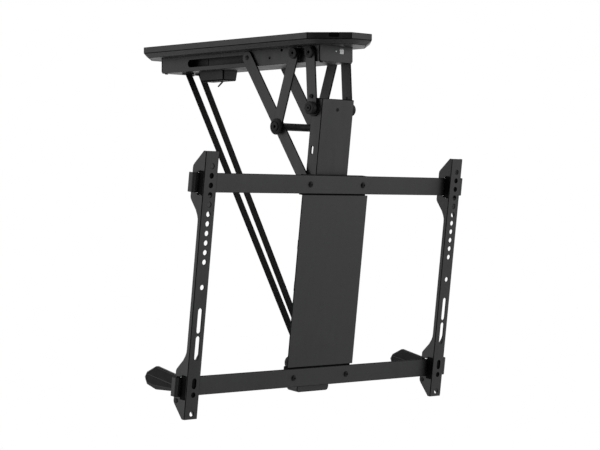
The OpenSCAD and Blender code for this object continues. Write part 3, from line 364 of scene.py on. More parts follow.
def makeZinc():
    # Zinc plate: crystals of slightly different shade, dulled in clouds
    material, tree, shader, place = startMaterial("zincPlate")
    crystals = put(tree, "TexVoronoi", {"Vector": place, "Scale": 420.0, "Randomness": 1.0})
    drift = use(tree, toneDrift, {"Vector": place, "Scale": 30.0, "Streaks": 0.2})["Drift"]
    wear = use(tree, paintedEdgeShadeAndWear, {"Vector": place, "Amount": 0.5})["Wear"]
    scratch = use(tree, hairScratches, {"Vector": place, "Scale": 80.0, "Amount": 0.6})["Scratch"]
    shade = put(tree, "SeparateColor", {0: crystals.outputs["Color"]}).outputs[0]
    base = blendColours(tree, remap(tree, shade, 0.0, 1.0, 0.0, 0.6), (0.40, 0.41, 0.43), (0.60, 0.61, 0.62))
    base = blendColours(tree, times(tree, drift, 0.45), base, (0.33, 0.33, 0.33))
    base = blendColours(tree, calc(tree, "MAXIMUM", wear, scratch), base, (0.72, 0.72, 0.72))
    rough = remap(tree, drift, 0.0, 1.0, 0.28, 0.46, "LINEAR")
    setSurface(tree, shader, base, rough, calc(tree, "SUBTRACT", shade, scratch), 0.15, 0.1 * mm)
    shader.inputs["Metallic"].default_value = 1.0
    return material


def makeBoard():
    # Green solder mask with copper runs under it
    material, tree, shader, place = startMaterial("circuitBoard")
    pattern = {"Scale": 160.0, "Mortar Size": 0.07, "Brick Width": 0.9, "Row Height": 0.35}
    runs = put(tree, "TexBrick", {"Vector": place, **pattern})
    drift = use(tree, toneDrift, {"Vector": place, "Scale": 24.0, "Streaks": 0.1})["Drift"]
    grain = use(tree, coatGrain, {"Vector": place, "Pimples": 1500.0, "Wave": 400.0})
    base = blendColours(tree, runs.outputs["Fac"], (0.012, 0.066, 0.030), (0.035, 0.13, 0.05))
    base = blendColours(tree, times(tree, drift, 0.4), base, (0.008, 0.045, 0.024))
    rough = remap(tree, drift, 0.0, 1.0, 0.25, 0.4, "LINEAR")
    height = calc(tree, "MULTIPLY_ADD", grain["Height"], 0.3, runs.outputs["Fac"])
    setSurface(tree, shader, base, rough, height, 0.3, 0.1 * mm)
    return material


def makeWebbing():
    # The straps carry a map in metres, across and along the band
    material, tree, shader, place = startMaterial("strapWebbing")
    band = put(tree, "UVMap", uv_map="bandMap").outputs["UV"]
    weave = use(tree, bandWeave, {"Vector": band, "Pitch": 0.0013})
    drift = use(tree, toneDrift, {"Vector": place, "Scale": 16.0, "Streaks": 0.2})["Drift"]
    # The weave's Shade paints shade between the yarns and light on their crowns
    base = blendColours(tree, weave["Shade"], (0.0010, 0.0009, 0.0008), (0.0074, 0.0066, 0.0058))
    base = blendColours(tree, times(tree, drift, 0.35), base, (0.0085, 0.0074, 0.0064))
    rough = remap(tree, weave["Shade"], 0.0, 1.0, 0.85, 0.62, "LINEAR")
    setSurface(tree, shader, base, rough, weave["Height"], 0.6, 0.4 * mm)
    shader.inputs["Specular IOR Level"].default_value = 0.13
    shader.inputs["Sheen Weight"].default_value = 0.03
    shader.inputs["Sheen Roughness"].default_value = 0.5
    return material


def makeWindow():
    # Window of the signal sensor: grey above a thin dark line, white below it, with fine moulded ribs
    material, tree, shader, place = startMaterial("windowLens")
    ribs = put(tree, "TexWave", {"Vector": place, "Scale": 320.0, "Distortion": 0.4}, bands_direction="X")
    drift = use(tree, toneDrift, {"Vector": place, "Scale": 90.0, "Streaks": 0.1})["Drift"]
    low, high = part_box("ir_window")
    height = put(tree, "SeparateXYZ", {0: place}).outputs["Z"]
    rise = remap(tree, height, low[2], high[2], kind="LINEAR")
    base = blendColours(tree, ribs.outputs["Fac"], (0.66, 0.67, 0.68), (0.78, 0.785, 0.79))
    base = blendColours(tree, times(tree, drift, 0.3), base, (0.60, 0.61, 0.615))
    split = 0.70  # share of the height where the grey begins
    base = blendColours(tree, remap(tree, rise, split, split + 0.03), base, (0.13, 0.13, 0.135))
    fromSplit = calc(tree, "ABSOLUTE", calc(tree, "SUBTRACT", rise, split))
    line = remap(tree, fromSplit, 0.025, 0.05, 1.0, 0.0)
    base = blendColours(tree, line, base, (0.012, 0.012, 0.013))
    rough = remap(tree, drift, 0.0, 1.0, 0.12, 0.24, "LINEAR")
    setSurface(tree, shader, base, rough, ribs.outputs["Fac"], 0.1, 0.1 * mm)
    return material


def makeLightGuide():
    # Milky end of the status light, faintly clouded
    material, tree, shader, place = startMaterial("lightGuide")
    cloud = noise(tree, place, 900.0, 3.0)
    base = blendColours(tree, remap(tree, cloud, 0.35, 0.65), (0.66, 0.70, 0.72), (0.84, 0.87, 0.88))
    tree.links.new(base, shader.inputs["Base Color"])
    tree.links.new(remap(tree, cloud, 0.3, 0.7, 0.14, 0.3), shader.inputs["Roughness"])
    shader.inputs["Coat Weight"].default_value = 0.6
    return material


finishes = {
    "steel": makeCoat("satinSteelCoat"),
    "dark_steel": makeCoat("darkSteelCoat"),
    "black_steel": makeCoat("blackOxide"),
    "plastic": makeCoat("mouldedPlastic"),
    "lever_plastic": makeCoat("gripPlastic"),
    "zinc": makeZinc(),
    "board": makeBoard(),
    "webbing": makeWebbing(),
    "lens": makeWindow(),
    "light_guide": makeLightGuide(),
}
softRubber, gripRubber = makeCoat("softRubber"), makeCoat("gripRubber")
for name, node in frame["nodes"].items():
    for slot in node.material_slots:
        slot.material = finishes[homeSlot[name]]
print("finishes made:", len(finishes))


# Mesh helpers

def finishPiece(name, bm, node, smoothAngle=40):
    # Makes the object, which rides and looks like its CAD node
    mesh = bpy.data.meshes.new(name)
    bm.to_mesh(mesh)
    bm.free()
    piece = bpy.data.objects.new(name, mesh)
    bpy.context.scene.collection.objects.link(piece)
    mesh.shade_smooth()
    mesh.set_sharp_from_angle(angle=math.radians(smoothAngle))
    weighted = piece.modifiers.new("weightedNormals", "WEIGHTED_NORMAL")
    weighted.keep_sharp = True
    mesh.materials.append(finishes[homeSlot[node]])
    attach(piece, homeBody[node])
    return piece


def markShade(bm, faces):
    layer = bm.loops.layers.float.get("edgeShade") or bm.loops.layers.float.new("edgeShade")
    for face in faces:
        for loop in face.loops:
            loop[layer] = 1.0


def outerEdges(bm, above):
    return [e for e in bm.edges if len(e.link_faces) == 2 and e.is_convex and e.calc_face_angle() > above]


def roundEdges(bm, edges, width, segments):
    made = bmesh.ops.bevel(
        bm, geom=edges, offset=width, offset_type="OFFSET", segments=segments, profile=0.5,
        affect="EDGES", clamp_overlap=False, material=-1)
    markShade(bm, made["faces"])


def breakEdges(bm, width, segments=2, above=35):
    # Rounds every sharp outer edge, and marks it for the coat's painted edge shade
    roundEdges(bm, outerEdges(bm, math.radians(above)), width, segments)


def vertsIn(geometry):
    return [g for g in geometry if isinstance(g, bmesh.types.BMVert)]


def mergedCopy(node):
    # A CAD node's mesh, with its points joined and its flat faces made whole
    weldGap, flatAngle = 0.002 * mm, math.radians(0.8)
    bm = bmesh.new()
    bm.from_mesh(frame["nodes"][node].data)
    bmesh.ops.remove_doubles(bm, verts=bm.verts[:], dist=weldGap)
    bmesh.ops.dissolve_limit(
        bm, angle_limit=flatAngle, use_dissolve_boundaries=False,
        verts=bm.verts[:], edges=bm.edges[:], delimit=set())
    return bm


# Sheet, bar and moulded pieces: the CAD forms with broken edges

edgeRadius = {  # millimetres
    "tray_cover": 0.9, "channel_housing": 0.4, "front_panel": 0.5, "rear_panel": 0.5, "ceiling_plate": 0.4,
    "notch_plug": 0.4, "housing_bolts": 0.3, "panel_screws": 0.3, "power_supply": 0.5, "motor_clamps": 0.5,
    "winch_motor": 1.0, "winch_gearbox": 0.8, "drum_bearings": 0.6, "strap_guides": 0.5, "pivot_spacers": 0.5,
    "ir_window": 0.3, "status_led": 0.2, "control_board": 0.2, "board_standoffs": 0.3, "slider_rollers": 0.5,
    "drum_shaft": 0.5, "short_arm_left": 0.5, "short_arm_right": 0.5, "long_arm_left": 0.5,
    "long_arm_right": 0.5, "front_arm_left": 0.5, "front_arm_right": 0.5, "cross_tube": 0.4,
    "column_channel": 1.1, "head_spacers": 0.6, "hip_pads": 0.5, "foot_shaft": 0.4, "column_ties": 0.5,
    "centre_plate": 0.5, "plate_carrier": 0.5,
    "top_rail": 0.8, "bottom_rail": 0.8, "rail_cleats": 0.6, "bracket_left": 0.5, "bracket_right": 0.5,
    "bracket_pads_left": 0.8, "bracket_pads_right": 0.8, "latch_lever_left": 1.0, "latch_lever_right": 1.0,
    "latch_hinge_left": 0.3, "latch_hinge_right": 0.3,
}


def camel(node):
    head, *rest = node.split("_")
    return head + "".join(word.capitalize() for word in rest)


sheetPieces = {
    "channel_housing", "front_panel", "rear_panel", "short_arm_left", "short_arm_right", "long_arm_left",
    "long_arm_right", "front_arm_left", "front_arm_right", "column_channel", "centre_plate", "plate_carrier",
    "top_rail", "bottom_rail", "bracket_left", "bracket_right",
}
rubberPieces = {"bracket_pads_left", "bracket_pads_right", "notch_plug", "hip_pads", "rail_cleats"}
sheetEdge = 3.3 * mm  # a little more than the thickest sheet
sheetAngle = 0.6  # radians; a cut edge stands off its flat faces by more
bendRadius = {"bracket_left": 1.1, "bracket_right": 1.1}  # millimetres
bendFace = 1500 * mm * mm  # each face beside a bend is larger
bendAngle = 1.2  # radians
# The dark panel in each side of a lever: how it is found, its rim and slope, and the pad in it
gripPanel = {
    "node": "latch_lever", "area": 500 * mm * mm, "facing": 0.95,
    "rim": 1.4 * mm, "slope": 0.3 * mm, "depth": 0.8 * mm,
    "pad": 0.45 * mm, "padShare": 0.985, "padSunk": 0.05 * mm, "padEdge": 0.15 * mm,
}


def cutEdges(bm):
    # The narrow faces that run along the outline of a sheet piece, square to its flat faces
    narrow = [f for f in bm.faces if f.calc_area() < sheetEdge * f.calc_perimeter() / 2]
    return [
        f for f in narrow
        if all(e.calc_face_angle(0) > sheetAngle for e in f.edges if e.calc_length() > sheetEdge)]


def sinkGripPanels(bm):
    # Sets back the flat side faces of a grip, and returns the rubber pads that lie in them
    size = gripPanel
    sides = [f for f in bm.faces if abs(f.normal.x) > size["facing"] and f.calc_area() > size["area"]]
    pads = bmesh.new()
    for face in sides:
        outward = face.normal.copy()
        bmesh.ops.inset_region(bm, faces=[face], thickness=size["rim"], depth=0)
        bmesh.ops.inset_region(bm, faces=[face], thickness=size["slope"], depth=-size["depth"])
        middle = face.calc_center_median()
        floor = middle - outward * size["padSunk"]
        ring = [pads.verts.new(floor + (v.co - middle) * size["padShare"]) for v in face.verts]
        grown = bmesh.ops.extrude_face_region(pads, geom=[pads.faces.new(ring)])["geom"]
        bmesh.ops.translate(pads, vec=outward * size["pad"], verts=vertsIn(grown))
    bmesh.ops.recalc_face_normals(pads, faces=pads.faces[:])
    breakEdges(pads, size["padEdge"])
    return pads


def roundBends(bm, width):
    # The long outer edge between two large faces of folded sheet, rounded and marked for painted shade along
    # the bend
    large = [e for e in outerEdges(bm, bendAngle) if min(f.calc_area() for f in e.link_faces) > bendFace]
    roundEdges(bm, large, width, 3)


for node, radius in edgeRadius.items():
    bm = mergedCopy(node)
    if node in sheetPieces:
        # The cut edges of sheet pieces get painted shade
        markShade(bm, cutEdges(bm))
    if node in bendRadius:
        roundBends(bm, bendRadius[node] * mm)
    breakEdges(bm, radius * mm)
    if node.startswith(gripPanel["node"]):
        pads = finishPiece(camel(node) + "Pads", sinkGripPanels(bm), node)
        pads.data.materials[0] = gripRubber
    piece = finishPiece(camel(node), bm, node)
    if node in rubberPieces:
        piece.data.materials[0] = softRubber
    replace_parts(piece, node)
print("edges broken on", len(edgeRadius), "pieces")


# Turned pieces: bolts, caps and pins

def acrossPart(y, z, side=1):
    # The turning axis lies along X, outwards on that side
    return Matrix.Translation((0, y * mm, z * mm)) @ Matrix.Rotation(side * math.pi / 2, 4, "Y")


def joinInto(bm, part):
    mesh = bpy.data.meshes.new("joined")
    part.to_mesh(mesh)
    part.free()
    bm.from_mesh(mesh)
    bpy.data.meshes.remove(mesh)


def turn(bm, outline, place, socket=None, segments=56):
    # outline runs from the inner end to the outer end, as (height, radius) in millimetres
    part = bmesh.new()
    line = [part.verts.new((radius * mm, 0, height * mm)) for height, radius in outline]
    edges = [part.edges.new(pair) for pair in zip(line, line[1:])]
    bmesh.ops.spin(
        part, geom=line + edges, cent=(0, 0, 0), axis=(0, 0, 1),
        angle=2 * math.pi, steps=segments, use_merge=True)
    bmesh.ops.remove_doubles(part, verts=part.verts[:], dist=0.001 * mm)
    if socket:
        sinkSocket(part, outline[-1][0] * mm, *socket)
    bmesh.ops.recalc_face_normals(part, faces=part.faces[:])
    bmesh.ops.transform(part, matrix=place, verts=part.verts[:])
    joinInto(bm, part)


def sinkSocket(part, height, across, depth):
    # Closes the open outer end round a hexagonal recess
    opening = [e for e in part.edges if len(e.link_faces) == 1]
    at = Matrix.Translation((0, 0, height))
    hexagon = bmesh.ops.create_circle(part, segments=6, radius=across * mm / math.sqrt(3), matrix=at)
    ring = list({e for v in hexagon["verts"] for e in v.link_edges})
    bmesh.ops.bridge_loops(part, edges=opening + ring)
    sunk = bmesh.ops.extrude_edge_only(part, edges=ring)["geom"]
    bmesh.ops.translate(part, vec=(0, 0, -depth * mm), verts=vertsIn(sunk))
    bottom = [g for g in sunk if isinstance(g, bmesh.types.BMEdge) and len(g.link_faces) == 1]
    bmesh.ops.holes_fill(part, edges=bottom, sides=6)


def capOutline(start, end, radius, ease, rim):
    # A cap from start to end whose outer edge is eased, up to an open ring of radius rim
    shape = [(start, 0), (start, radius - 0.3), (start + 0.3, radius)]
    for step in range(6):
        angle = step / 5 * math.pi / 2
        shape.append((end - ease + ease * math.sin(angle), radius - ease + ease * math.cos(angle)))
    return shape + [(end, rim)]


boltSet = {
    "knee": (-107.5, -153.7), "head": (-186.569, -124.789), "foot": (-131.723, -558.939),
    "rearPivot": (-149.5, -30.2), "frontPivot": (-182.0, -30.2), "slider": (-28.5, -30.6),
}


def middleOf(node):
    low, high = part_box(node)
    return (low[1] + high[1]) / 2 / mm, (low[2] + high[2]) / 2 / mm


def makeKneeBolts():
    size = {"inner": 25.9, "shoulder": (44.9, 47.5), "cap": (51.1, 56.1), "radius": 14.0, "shank": 4.0}
    bm = bmesh.new()
    a, b = size["shoulder"]
    r = size["shank"]
    shaft = [
        (size["inner"], 0), (size["inner"], r - 0.5), (size["inner"] + 0.5, r),
        (a, r), (a, 2 * r), (b, 2 * r), (b, r)]
    c, d = size["cap"]
    wide = size["radius"]
    crown = [  # a dome with a groove round its middle
        (c, r), (c, wide - 0.3), (c + 0.4, wide), (c + 1.2, wide), (c + 1.9, wide - 0.5),
        (c + 2.6, wide - 1.4), (c + 3.4, wide - 3.0), (c + 3.9, wide - 4.4), (c + 2.9, wide - 4.9),
        (c + 2.9, wide - 5.9), (c + 4.5, wide - 6.5), (d, wide - 8.0), (d, 4.4), (d - 0.5, 3.8)]
    for side in (1, -1):
        turn(bm, shaft + crown, acrossPart(*boltSet["knee"], side), socket=(5.0, 2.2))
    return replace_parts(finishPiece("kneeBolts", bm, "knee_bolts"), "knee_bolts")


def makePivotBolts():
    size = {
        "nut": (32.5, 38.5), "nutRadius": 8.0, "nutEdge": 0.5, "shankStart": 30.5,
        "heads": {"rearPivot": 51.1, "frontPivot": 45.2}, "headHeight": 4.0, "radius": 9.5,
    }
    low, high = size["nut"]
    nutRadius = size["nutRadius"] * mm
    bm = bmesh.new()
    for key, x in size["heads"].items():
        head = capOutline(x, x + size["headHeight"], size["radius"], 1.1, 5.2)[1:]
        head += [(x + size["headHeight"] - 0.6, 4.6), (x + size["headHeight"] - 0.6, 3.8)]
        shaft = [(size["shankStart"], 0), (size["shankStart"], 3.5), (size["shankStart"] + 0.5, 4), (x, 4)]
        for side in (1, -1):
            turn(bm, shaft + head, acrossPart(*boltSet[key], side), socket=(5.0, 1.8))
            nut = bmesh.new()
            at = acrossPart(*boltSet[key], side) @ Matrix.Translation((0, 0, (low + high) / 2 * mm))
            bmesh.ops.create_cone(
                nut, cap_ends=True, segments=6, radius1=nutRadius, radius2=nutRadius,
                depth=(high - low) * mm, matrix=at)
            breakEdges(nut, size["nutEdge"] * mm)
            joinInto(bm, nut)
    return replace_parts(finishPiece("pivotBolts", bm, "pivot_bolts"), "pivot_bolts")


def makeHeadShaft():
    size = {"cap": (45.2, 53.2), "radius": 11.0, "shank": 4.0, "end": 54.2}
    bm = bmesh.new()
    c, d = size["cap"]
    cap = capOutline(c, d, size["radius"], 1.6, 6.2)[1:]
    boss = [(d - 0.4, 5.8), (d - 0.4, 4.9), (size["end"] - 0.3, 4.9), (size["end"], 4.6)]
    outline = [(0, size["shank"]), (c, size["shank"])] + cap + boss
    for side in (1, -1):
        turn(bm, outline, acrossPart(*boltSet["head"], side), socket=(4.0, 2.0))
    bmesh.ops.remove_doubles(bm, verts=bm.verts[:], dist=0.001 * mm)
    bmesh.ops.recalc_face_normals(bm, faces=bm.faces[:])
    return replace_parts(finishPiece("headShaft", bm, "head_shaft"), "head_shaft")


def makeFootCaps():
    size = {"cap": (38.75, 46.45), "radius": 12.0, "bore": 4.1, "depth": 3.95}
    bm = bmesh.new()
    c, d = size["cap"]
    inside = [(c + size["depth"], 0), (c + size["depth"], size["bore"]), (c, size["bore"])]
    wide = size["radius"]
    dome = [
        (c, wide - 0.3), (c + 0.3, wide), (d - 2.6, wide), (d - 1.5, wide - 0.5), (d - 0.6, wide - 1.7),
        (d - 0.15, wide - 3.4), (d, wide - 5.5), (d, 4.6), (d - 0.5, 4.1)]
    for side in (1, -1):
        turn(bm, inside + dome, acrossPart(*boltSet["foot"], side), socket=(5.0, 2.0))
    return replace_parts(finishPiece("footCaps", bm, "foot_caps"), "foot_caps")


def makeHipCaps():
    place = middleOf("hip_caps")
    size = {"start": 43.4, "cap": (44.9, 48.9), "radius": 9.5, "shank": 4}
    bm = bmesh.new()
    c, d = size["cap"]
    head = capOutline(c, d, size["radius"], 1.2, 5.0)[1:] + [(d - 0.5, 4.5), (d - 0.5, 3.6)]
    outline = [(size["start"], 0), (size["start"], size["shank"]), (c, size["shank"])] + head
    for side in (1, -1):
        turn(bm, outline, acrossPart(*place, side), socket=(5.0, 1.8))
    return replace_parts(finishPiece("hipCaps", bm, "hip_caps"), "hip_caps")


def makeSliderPins():
    size = {"start": 31.2, "head": (44.9, 46.4), "radius": 4.0, "pin": 2.5}
    bm = bmesh.new()
    c, d = size["head"]
    outline = [(size["start"], 0), (size["start"], 2.2), (size["start"] + 0.3, size["pin"]), (c, size["pin"])]
    outline += [(c, 3.8), (c + 0.2, size["radius"]), (d - 0.7, 3.9), (d - 0.25, 3.2), (d, 2.2), (d, 0)]
    for side in (1, -1):
        turn(bm, outline, acrossPart(*boltSet["slider"], side), segments=32)
    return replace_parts(finishPiece("sliderPins", bm, "slider_pins"), "slider_pins")


def makeArmStops():
    place = middleOf("arm_stops")
    size = {"start": 41.9, "head": (44.9, 47.43), "radius": 3.8, "shank": 1.9}
    bm = bmesh.new()
    c, d = size["head"]
    head = capOutline(c, d, size["radius"], 0.8, 2.0)[1:]
    outline = [(size["start"], 0), (size["start"], size["shank"]), (c, size["shank"])] + head
    for side in (1, -1):
        turn(bm, outline, acrossPart(*place, side), socket=(2.4, 1.2), segments=32)
    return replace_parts(finishPiece("armStops", bm, "arm_stops"), "arm_stops")


screenFrame = Matrix.Translation((0, -205 * mm, -239 * mm)) @ Matrix.Rotation(math.radians(7.2), 4, "X")


def makeColumnFasteners():
    size = {
        "pitch": 129.0, "rows": (-15.75, -345.75), "long": 14.8,
        "headHeight": 2.7, "headRadius": 5.1, "shank": 3.0,
        "screw": (0, 14.8, 111),
    }
    outwards = Matrix.Rotation(math.pi / 2, 4, "X")
    bm = bmesh.new()
    h, r, low = size["headHeight"], size["headRadius"], -size["long"]
    bolt = [
        (low, 0), (low, 2.6), (low + 0.4, 3.0), (0, size["shank"]), (0, r - 0.2),
        (0.35, r), (0.9, r - 0.1), (1.5, r - 0.55), (2.1, r - 1.3), (h, r - 2.5)]
    for x in (-size["pitch"] / 2, size["pitch"] / 2):
        for z in size["rows"]:
            place = screenFrame @ Matrix.Translation((x * mm, 0, z * mm)) @ outwards
            turn(bm, bolt, place, socket=(3.5, 1.4), segments=40)
    place = screenFrame @ Matrix.Translation(Vector(size["screw"]) * mm) @ outwards
    screw = [(-2.5, 0), (-2.5, 1.5), (0, 1.5), (0, 2.9), (0.5, 3.0), (0.85, 2.6), (1.0, 1.6)]
    turn(bm, screw, place, socket=(1.8, 0.7), segments=32)
    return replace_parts(finishPiece("columnFasteners", bm, "column_fasteners"), "column_fasteners")


makeKneeBolts()
makePivotBolts()
makeHeadShaft()
makeFootCaps()
makeHipCaps()
makeSliderPins()
makeArmStops()
makeColumnFasteners()
print("bolts, caps and pins turned")


# Straps

strapSize = {
    "width": 15.5, "thick": 1.9, "topPitch": 32.0, "footPitch": 19.0,
    "exit": (156.0, -46.0), "foot": (-131.723, -558.939), "anchorRadius": 8.0,
    "drum": (150.798, -24.0), "woundRadius": 14.0, "flangeRadius": 17.0, "flangeBore": 5.1,
    "sewnLength": 62.0, "threadWidth": 0.35, "stitchStep": 2.6,
    "foldedShare": 0.045,  # of the length at rest
}


def mapBand(bm, faces, along, across, origin):
    # Lays the webbing's map over a band, in metres across and along it
    layer = bm.loops.layers.uv.get("bandMap") or bm.loops.layers.uv.new("bandMap")
    for face in faces:
        for loop in face.loops:
            offset = loop.vert.co - origin
            loop[layer].uv = (offset.dot(across), offset.dot(along))


def lengthwise(band, length):
    return [e for e in band.edges if abs((e.verts[0].co - e.verts[1].co).z) > 0.5 * length]


def addBand(bm, start, end, width, thick, steps=24):
    # A flat band with rounded selvedges from start to end
    span = end - start
    along = span.normalized()
    across = (Vector((1, 0, 0)) - along * along.x).normalized()
    facing = along.cross(across)
    band = bmesh.new()
    bmesh.ops.create_cube(band, size=1.0, matrix=Matrix.Diagonal((width, thick, span.length, 1)))
    selvedge = 0.42 * thick
    bmesh.ops.bevel(
        band, geom=lengthwise(band, span.length), offset=selvedge, segments=3, profile=0.5,
        affect="EDGES", material=-1)
    bmesh.ops.subdivide_edges(
        band, edges=lengthwise(band, span.length), cuts=steps, use_grid_fill=True)
    lay = Matrix((across, facing, along)).transposed().to_4x4()
    bmesh.ops.transform(band, matrix=Matrix.Translation((start + end) / 2) @ lay, verts=band.verts[:])
    mapBand(band, band.faces, along, across, start)
    joinInto(bm, band)
    return along, across, facing


def addStitches(bm, start, along, across, facing, width, length, lift):
    # A sewn box with a cross in it: short thread stitches lying on the band
    corners = [(-0.38, 0.06), (0.38, 0.06), (0.38, 0.94), (-0.38, 0.94)]
    lines = [(corners[i], corners[(i + 1) % 4]) for i in range(4)]
    lines += [(corners[0], corners[2]), (corners[1], corners[3])]
    thread = strapSize["threadWidth"] * mm
    for a, b in lines:
        p = start + across * (a[0] * width) + along * (a[1] * length)
        q = start + across * (b[0] * width) + along * (b[1] * length)
        count = max(2, round((q - p).length / (strapSize["stitchStep"] * mm)))
        step = (q - p) / count
        for k in range(count):
            middle = p + step * (k + 0.5) + facing * lift
            heading = step.normalized()
            side = facing.cross(heading)
            lay = Matrix.Translation(middle) @ Matrix((heading, side, facing)).transposed().to_4x4()
            lay = lay @ Matrix.Diagonal((step.length * 0.8, thread, thread, 1))
            bmesh.ops.create_uvsphere(bm, u_segments=6, v_segments=4, radius=0.5, matrix=lay)


def makeLiftStraps():
    s = strapSize
    width, thick, sewn = s["width"] * mm, s["thick"] * mm, s["sewnLength"] * mm
    top, low = Vector((0, *s["exit"])), Vector((0, *s["foot"]))
    heading = (low - top).normalized()
    bm = bmesh.new()
    threads = bmesh.new()
    for side in (-1, 1):
        start = top - heading * 2.0 + Vector((side * s["topPitch"] / 2, 0, 0))
        end = low - heading * (s["anchorRadius"] + 0.3) + Vector((side * s["footPitch"] / 2, 0, 0))
        start, end = start * mm, end * mm
        along, across, facing = addBand(bm, start, end, width, thick, 60)
        # The end that went round the shaft is laid back on the band and sewn down
        tab = facing * 0.92 * thick
        addBand(bm, end - along * sewn + tab, end + tab, width * 0.98, thick * 0.8, 10)
        seam = end - along * (sewn - 4 * mm)
        for face, lift in ((1, 1.32 * thick), (-1, 0.5 * thick)):
            addStitches(threads, seam, along, across, facing * face, width, sewn - 8 * mm, lift)
    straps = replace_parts(finishPiece("liftStraps", bm, "lift_straps", 30), "lift_straps")
    seams = finishPiece("strapSeams", threads, "lift_straps", 30)
    seams.data.materials[0] = makeThread()
    for piece in (straps, seams):
        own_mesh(piece)
    return straps


def makeThread():
    material, tree, shader, place = startMaterial("seamThread")
    waves = {"Vector": place, "Scale": 1800.0, "Distortion": 1.5}
    twist = put(tree, "TexWave", waves, bands_direction="DIAGONAL").outputs["Fac"]
    base = blendColours(tree, twist, (0.010, 0.0095, 0.009), (0.03, 0.029, 0.027))
    tree.links.new(base, shader.inputs["Base Color"])
    tree.links.new(remap(tree, twist, 0.0, 1.0, 0.6, 0.8), shader.inputs["Roughness"])
    return material


def mapTurned(bm, centre, radius):
    # The same map on a coil: across it along X, and along it round the axis
    layer = bm.loops.layers.uv.get("bandMap") or bm.loops.layers.uv.new("bandMap")
    for face in bm.faces:
        away = face.calc_center_median() - centre
        middle = math.atan2(away.z, away.y)
        for loop in face.loops:
            offset = loop.vert.co - centre
            angle = math.atan2(offset.z, offset.y)
            angle += 2 * math.pi * round((middle - angle) / (2 * math.pi))
            loop[layer].uv = (offset.x, angle * radius)


def coilOutline(half, inner, outer, layers):
    # Layers of band wound on each other: their edges show as fine steps at both faces
    rise = (outer - inner) / layers
    up = []
    for k in range(layers):
        low = inner + k * rise
        up += [(-half + 0.25, low), (-half, low + 0.3 * rise)]
        up += [(-half, low + 0.7 * rise), (-half + 0.25, low + rise)]
    return up + [(-x, r) for x, r in reversed(up)] + [up[0]]


def makeStrapSpools():
    s = strapSize
    bm, hubs = bmesh.new(), bmesh.new()
    y, z = s["drum"]
    centre = Vector((0, y * mm, z * mm))
    half = s["width"] / 2 + 0.3
    r, bore = s["flangeRadius"], s["flangeBore"]
    for side in (-1, 1):
        at = acrossPart(y, z) @ Matrix.Translation((0, 0, side * s["topPitch"] / 2 * mm))
        turn(bm, coilOutline(half - 0.15, 5.4, s["woundRadius"], 5), at)
        for face in (-1, 1):
            a, b = sorted((face * half, face * (half + 1)))
            ring = [(a, bore), (a, r - 0.2), (a + 0.2, r), (b - 0.2, r), (b, r - 0.2), (b, bore), (a, bore)]
            turn(hubs, ring, at)
    mapTurned(bm, centre, s["woundRadius"] * mm)
    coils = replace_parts(finishPiece("strapCoils", bm, "strap_spools"), "strap_spools")
    flanges = finishPiece("spoolFlanges", hubs, "strap_spools")
    flanges.data.materials[0] = finishes["plastic"]
    return coils


def makeStrapAnchors():
    s = strapSize
    bm = bmesh.new()
    y, z = s["foot"]
    centre = Vector((0, y * mm, z * mm))
    half = s["footPitch"] / 2 - 0.3
    for side in (-1, 1):
        at = acrossPart(y, z) @ Matrix.Translation((0, 0, side * s["footPitch"] / 2 * mm))
        turn(bm, coilOutline(half, 4.1, s["anchorRadius"], 2), at)
    mapTurned(bm, centre, s["anchorRadius"] * mm)
    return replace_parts(finishPiece("strapAnchors", bm, "strap_anchors"), "strap_anchors")


def makeStrapLeads():
    s = strapSize
    top, low = Vector((0, *s["exit"])), Vector((0, *s["foot"]))
    heading = (low - top).normalized()
    drum = Vector((0, *s["drum"]))
    first = top + heading * (drum - top).dot(heading)
    bm = bmesh.new()
    for side in (-1, 1):
        shift = Vector((side * s["topPitch"] / 2, 0, 0))
        start, end = (first + shift) * mm, (top - heading * 2.3 + shift) * mm
        addBand(bm, start, end, s["width"] * mm, s["thick"] * mm, 4)
    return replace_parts(finishPiece("strapLeads", bm, "strap_leads", 30), "strap_leads")


makeLiftStraps()
makeStrapSpools()
makeStrapAnchors()
makeStrapLeads()
print("straps woven and sewn")


# Receiver box

def makeReceiver():
    size = {"edge": 2.2, "steps": 4, "sharp": 60}
    bm = mergedCopy("receiver_case")
    breakEdges(bm, size["edge"] * mm, size["steps"], size["sharp"])
    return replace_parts(finishPiece("receiverCase", bm, "receiver_case", 30), "receiver_case")


def makeAntenna():
    size = {"base": 3.0, "rod": 1.5, "long": 14.0, "lean": 55.0, "back": 65 / 6, "rings": 4, "ringPitch": 0.9}
    low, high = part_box("receiver_case")
    bm = bmesh.new()
    top = Vector(((low[0] + high[0]) / 2, ((low[1] + high[1]) / 2) - size["back"] * mm, low[2]))
    over = Matrix.Rotation(math.pi, 4, "X")
    b, r, end = size["base"], size["rod"], size["long"]
    foot = [(0, 0), (0, b - 0.2), (0.2, b), (1.0, b - 0.1), (1.5, b - 0.7), (1.5, 0)]
    turn(bm, foot, Matrix.Translation(top) @ over, segments=32)
    lean = Matrix.Rotation(math.radians(size["lean"]), 4, "X") @ over
    rod = [(0, 0), (0, r)]
    for k in range(size["rings"]):
        up = k * size["ringPitch"]
        rod += [(1.0 + up, r), (1.15 + up, r - 0.25), (1.45 + up, r - 0.25), (1.6 + up, r)]
    rod += [(end - 3, r - 0.1), (end - 1.0, r - 0.3), (end - 0.3, r - 0.8), (end, 0)]
    turn(bm, rod, Matrix.Translation(top + Vector((0, 0, -1.5 * mm))) @ lean, segments=32)
    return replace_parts(finishPiece("receiverAntenna", bm, "receiver_antenna"), "receiver_antenna")


makeReceiver()
makeAntenna()
print("receiver made")


# Light and surroundings

studio = {
    "level": 0.85,  # how much of the white surroundings lights the part
    "darkSide": 0.12,  # what is left of it behind the camera
    "floorHeight": -2.4,
    "floorHalf": 6.0,
    "lamps": [
        ("leftLamp", (-2.6, 1.2, -0.2), 1.8, 10.0),
        ("rightLamp", (1.6, -2.8, 0.1), 1.8, 10.0),
    ],
}


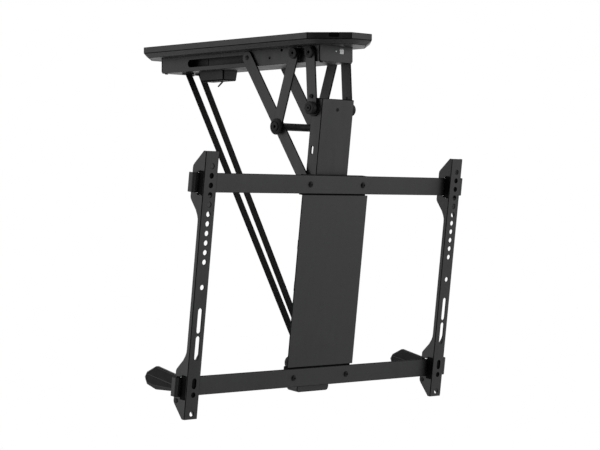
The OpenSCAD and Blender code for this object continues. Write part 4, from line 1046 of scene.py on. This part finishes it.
def makeWorld():
    world = bpy.data.worlds.new("whiteStudio")
    bpy.context.scene.world = world
    world.use_nodes = True
    tree = world.node_tree
    tree.nodes.clear()
    direction = put(tree, "TexCoord").outputs["Generated"]
    yaw = math.radians(photoCamera["yaw"])
    behind = (-math.sin(yaw), -math.cos(yaw), 0.0)
    towards = put(tree, "VectorMath", {0: direction, 1: behind}, operation="DOT_PRODUCT").outputs["Value"]
    level = studio["level"]
    shade = remap(tree, towards, 0.35, 0.8, level, level * studio["darkSide"])
    path = put(tree, "LightPath")
    seen = calc(tree, "MAXIMUM", path.outputs["Is Camera Ray"], path.outputs["Is Transmission Ray"])
    strength = put(tree, "Mix", {0: seen, 2: shade, 3: 1.0}, data_type="FLOAT").outputs[0]
    light = put(tree, "Background", {"Color": (1, 1, 1, 1), "Strength": strength})
    tree.links.new(light.outputs[0], put(tree, "OutputWorld").inputs["Surface"])


def makeFloor():
    # Seen pale, like the photo's ground, but it throws less light back up
    at = Matrix.Translation((0, 0, studio["floorHeight"]))
    bm = bmesh.new()
    bmesh.ops.create_grid(bm, x_segments=1, y_segments=1, size=studio["floorHalf"], matrix=at)
    mesh = bpy.data.meshes.new("paleFloor")
    bm.to_mesh(mesh)
    bm.free()
    floor = bpy.data.objects.new("paleFloor", mesh)
    bpy.context.scene.collection.objects.link(floor)
    material, tree, shader, place = startMaterial("paleFloor")
    speckle = noise(tree, place, 5.0, 4.0)
    grey = blendColours(tree, speckle, (0.67, 0.67, 0.67), (0.70, 0.70, 0.70))
    pale = blendColours(tree, speckle, (0.84, 0.84, 0.84), (0.87, 0.87, 0.87))
    seen = put(tree, "LightPath").outputs["Is Camera Ray"]
    tree.links.new(blendColours(tree, seen, grey, pale), shader.inputs["Base Color"])
    shader.inputs["Roughness"].default_value = 0.8
    mesh.materials.append(material)


def makeLamps():
    for name, place, side, power in studio["lamps"]:
        data = bpy.data.lights.new(name, "AREA")
        data.size = side
        data.energy = power
        lamp = bpy.data.objects.new(name, data)
        bpy.context.scene.collection.objects.link(lamp)
        lamp.location = place
        lamp.rotation_euler = (Vector((0, -0.1, -0.3)) - Vector(place)).to_track_quat("-Z", "Y").to_euler()


makeWorld()
makeFloor()
makeLamps()
bpy.context.scene.view_settings.view_transform = "Standard"
print("studio lit")
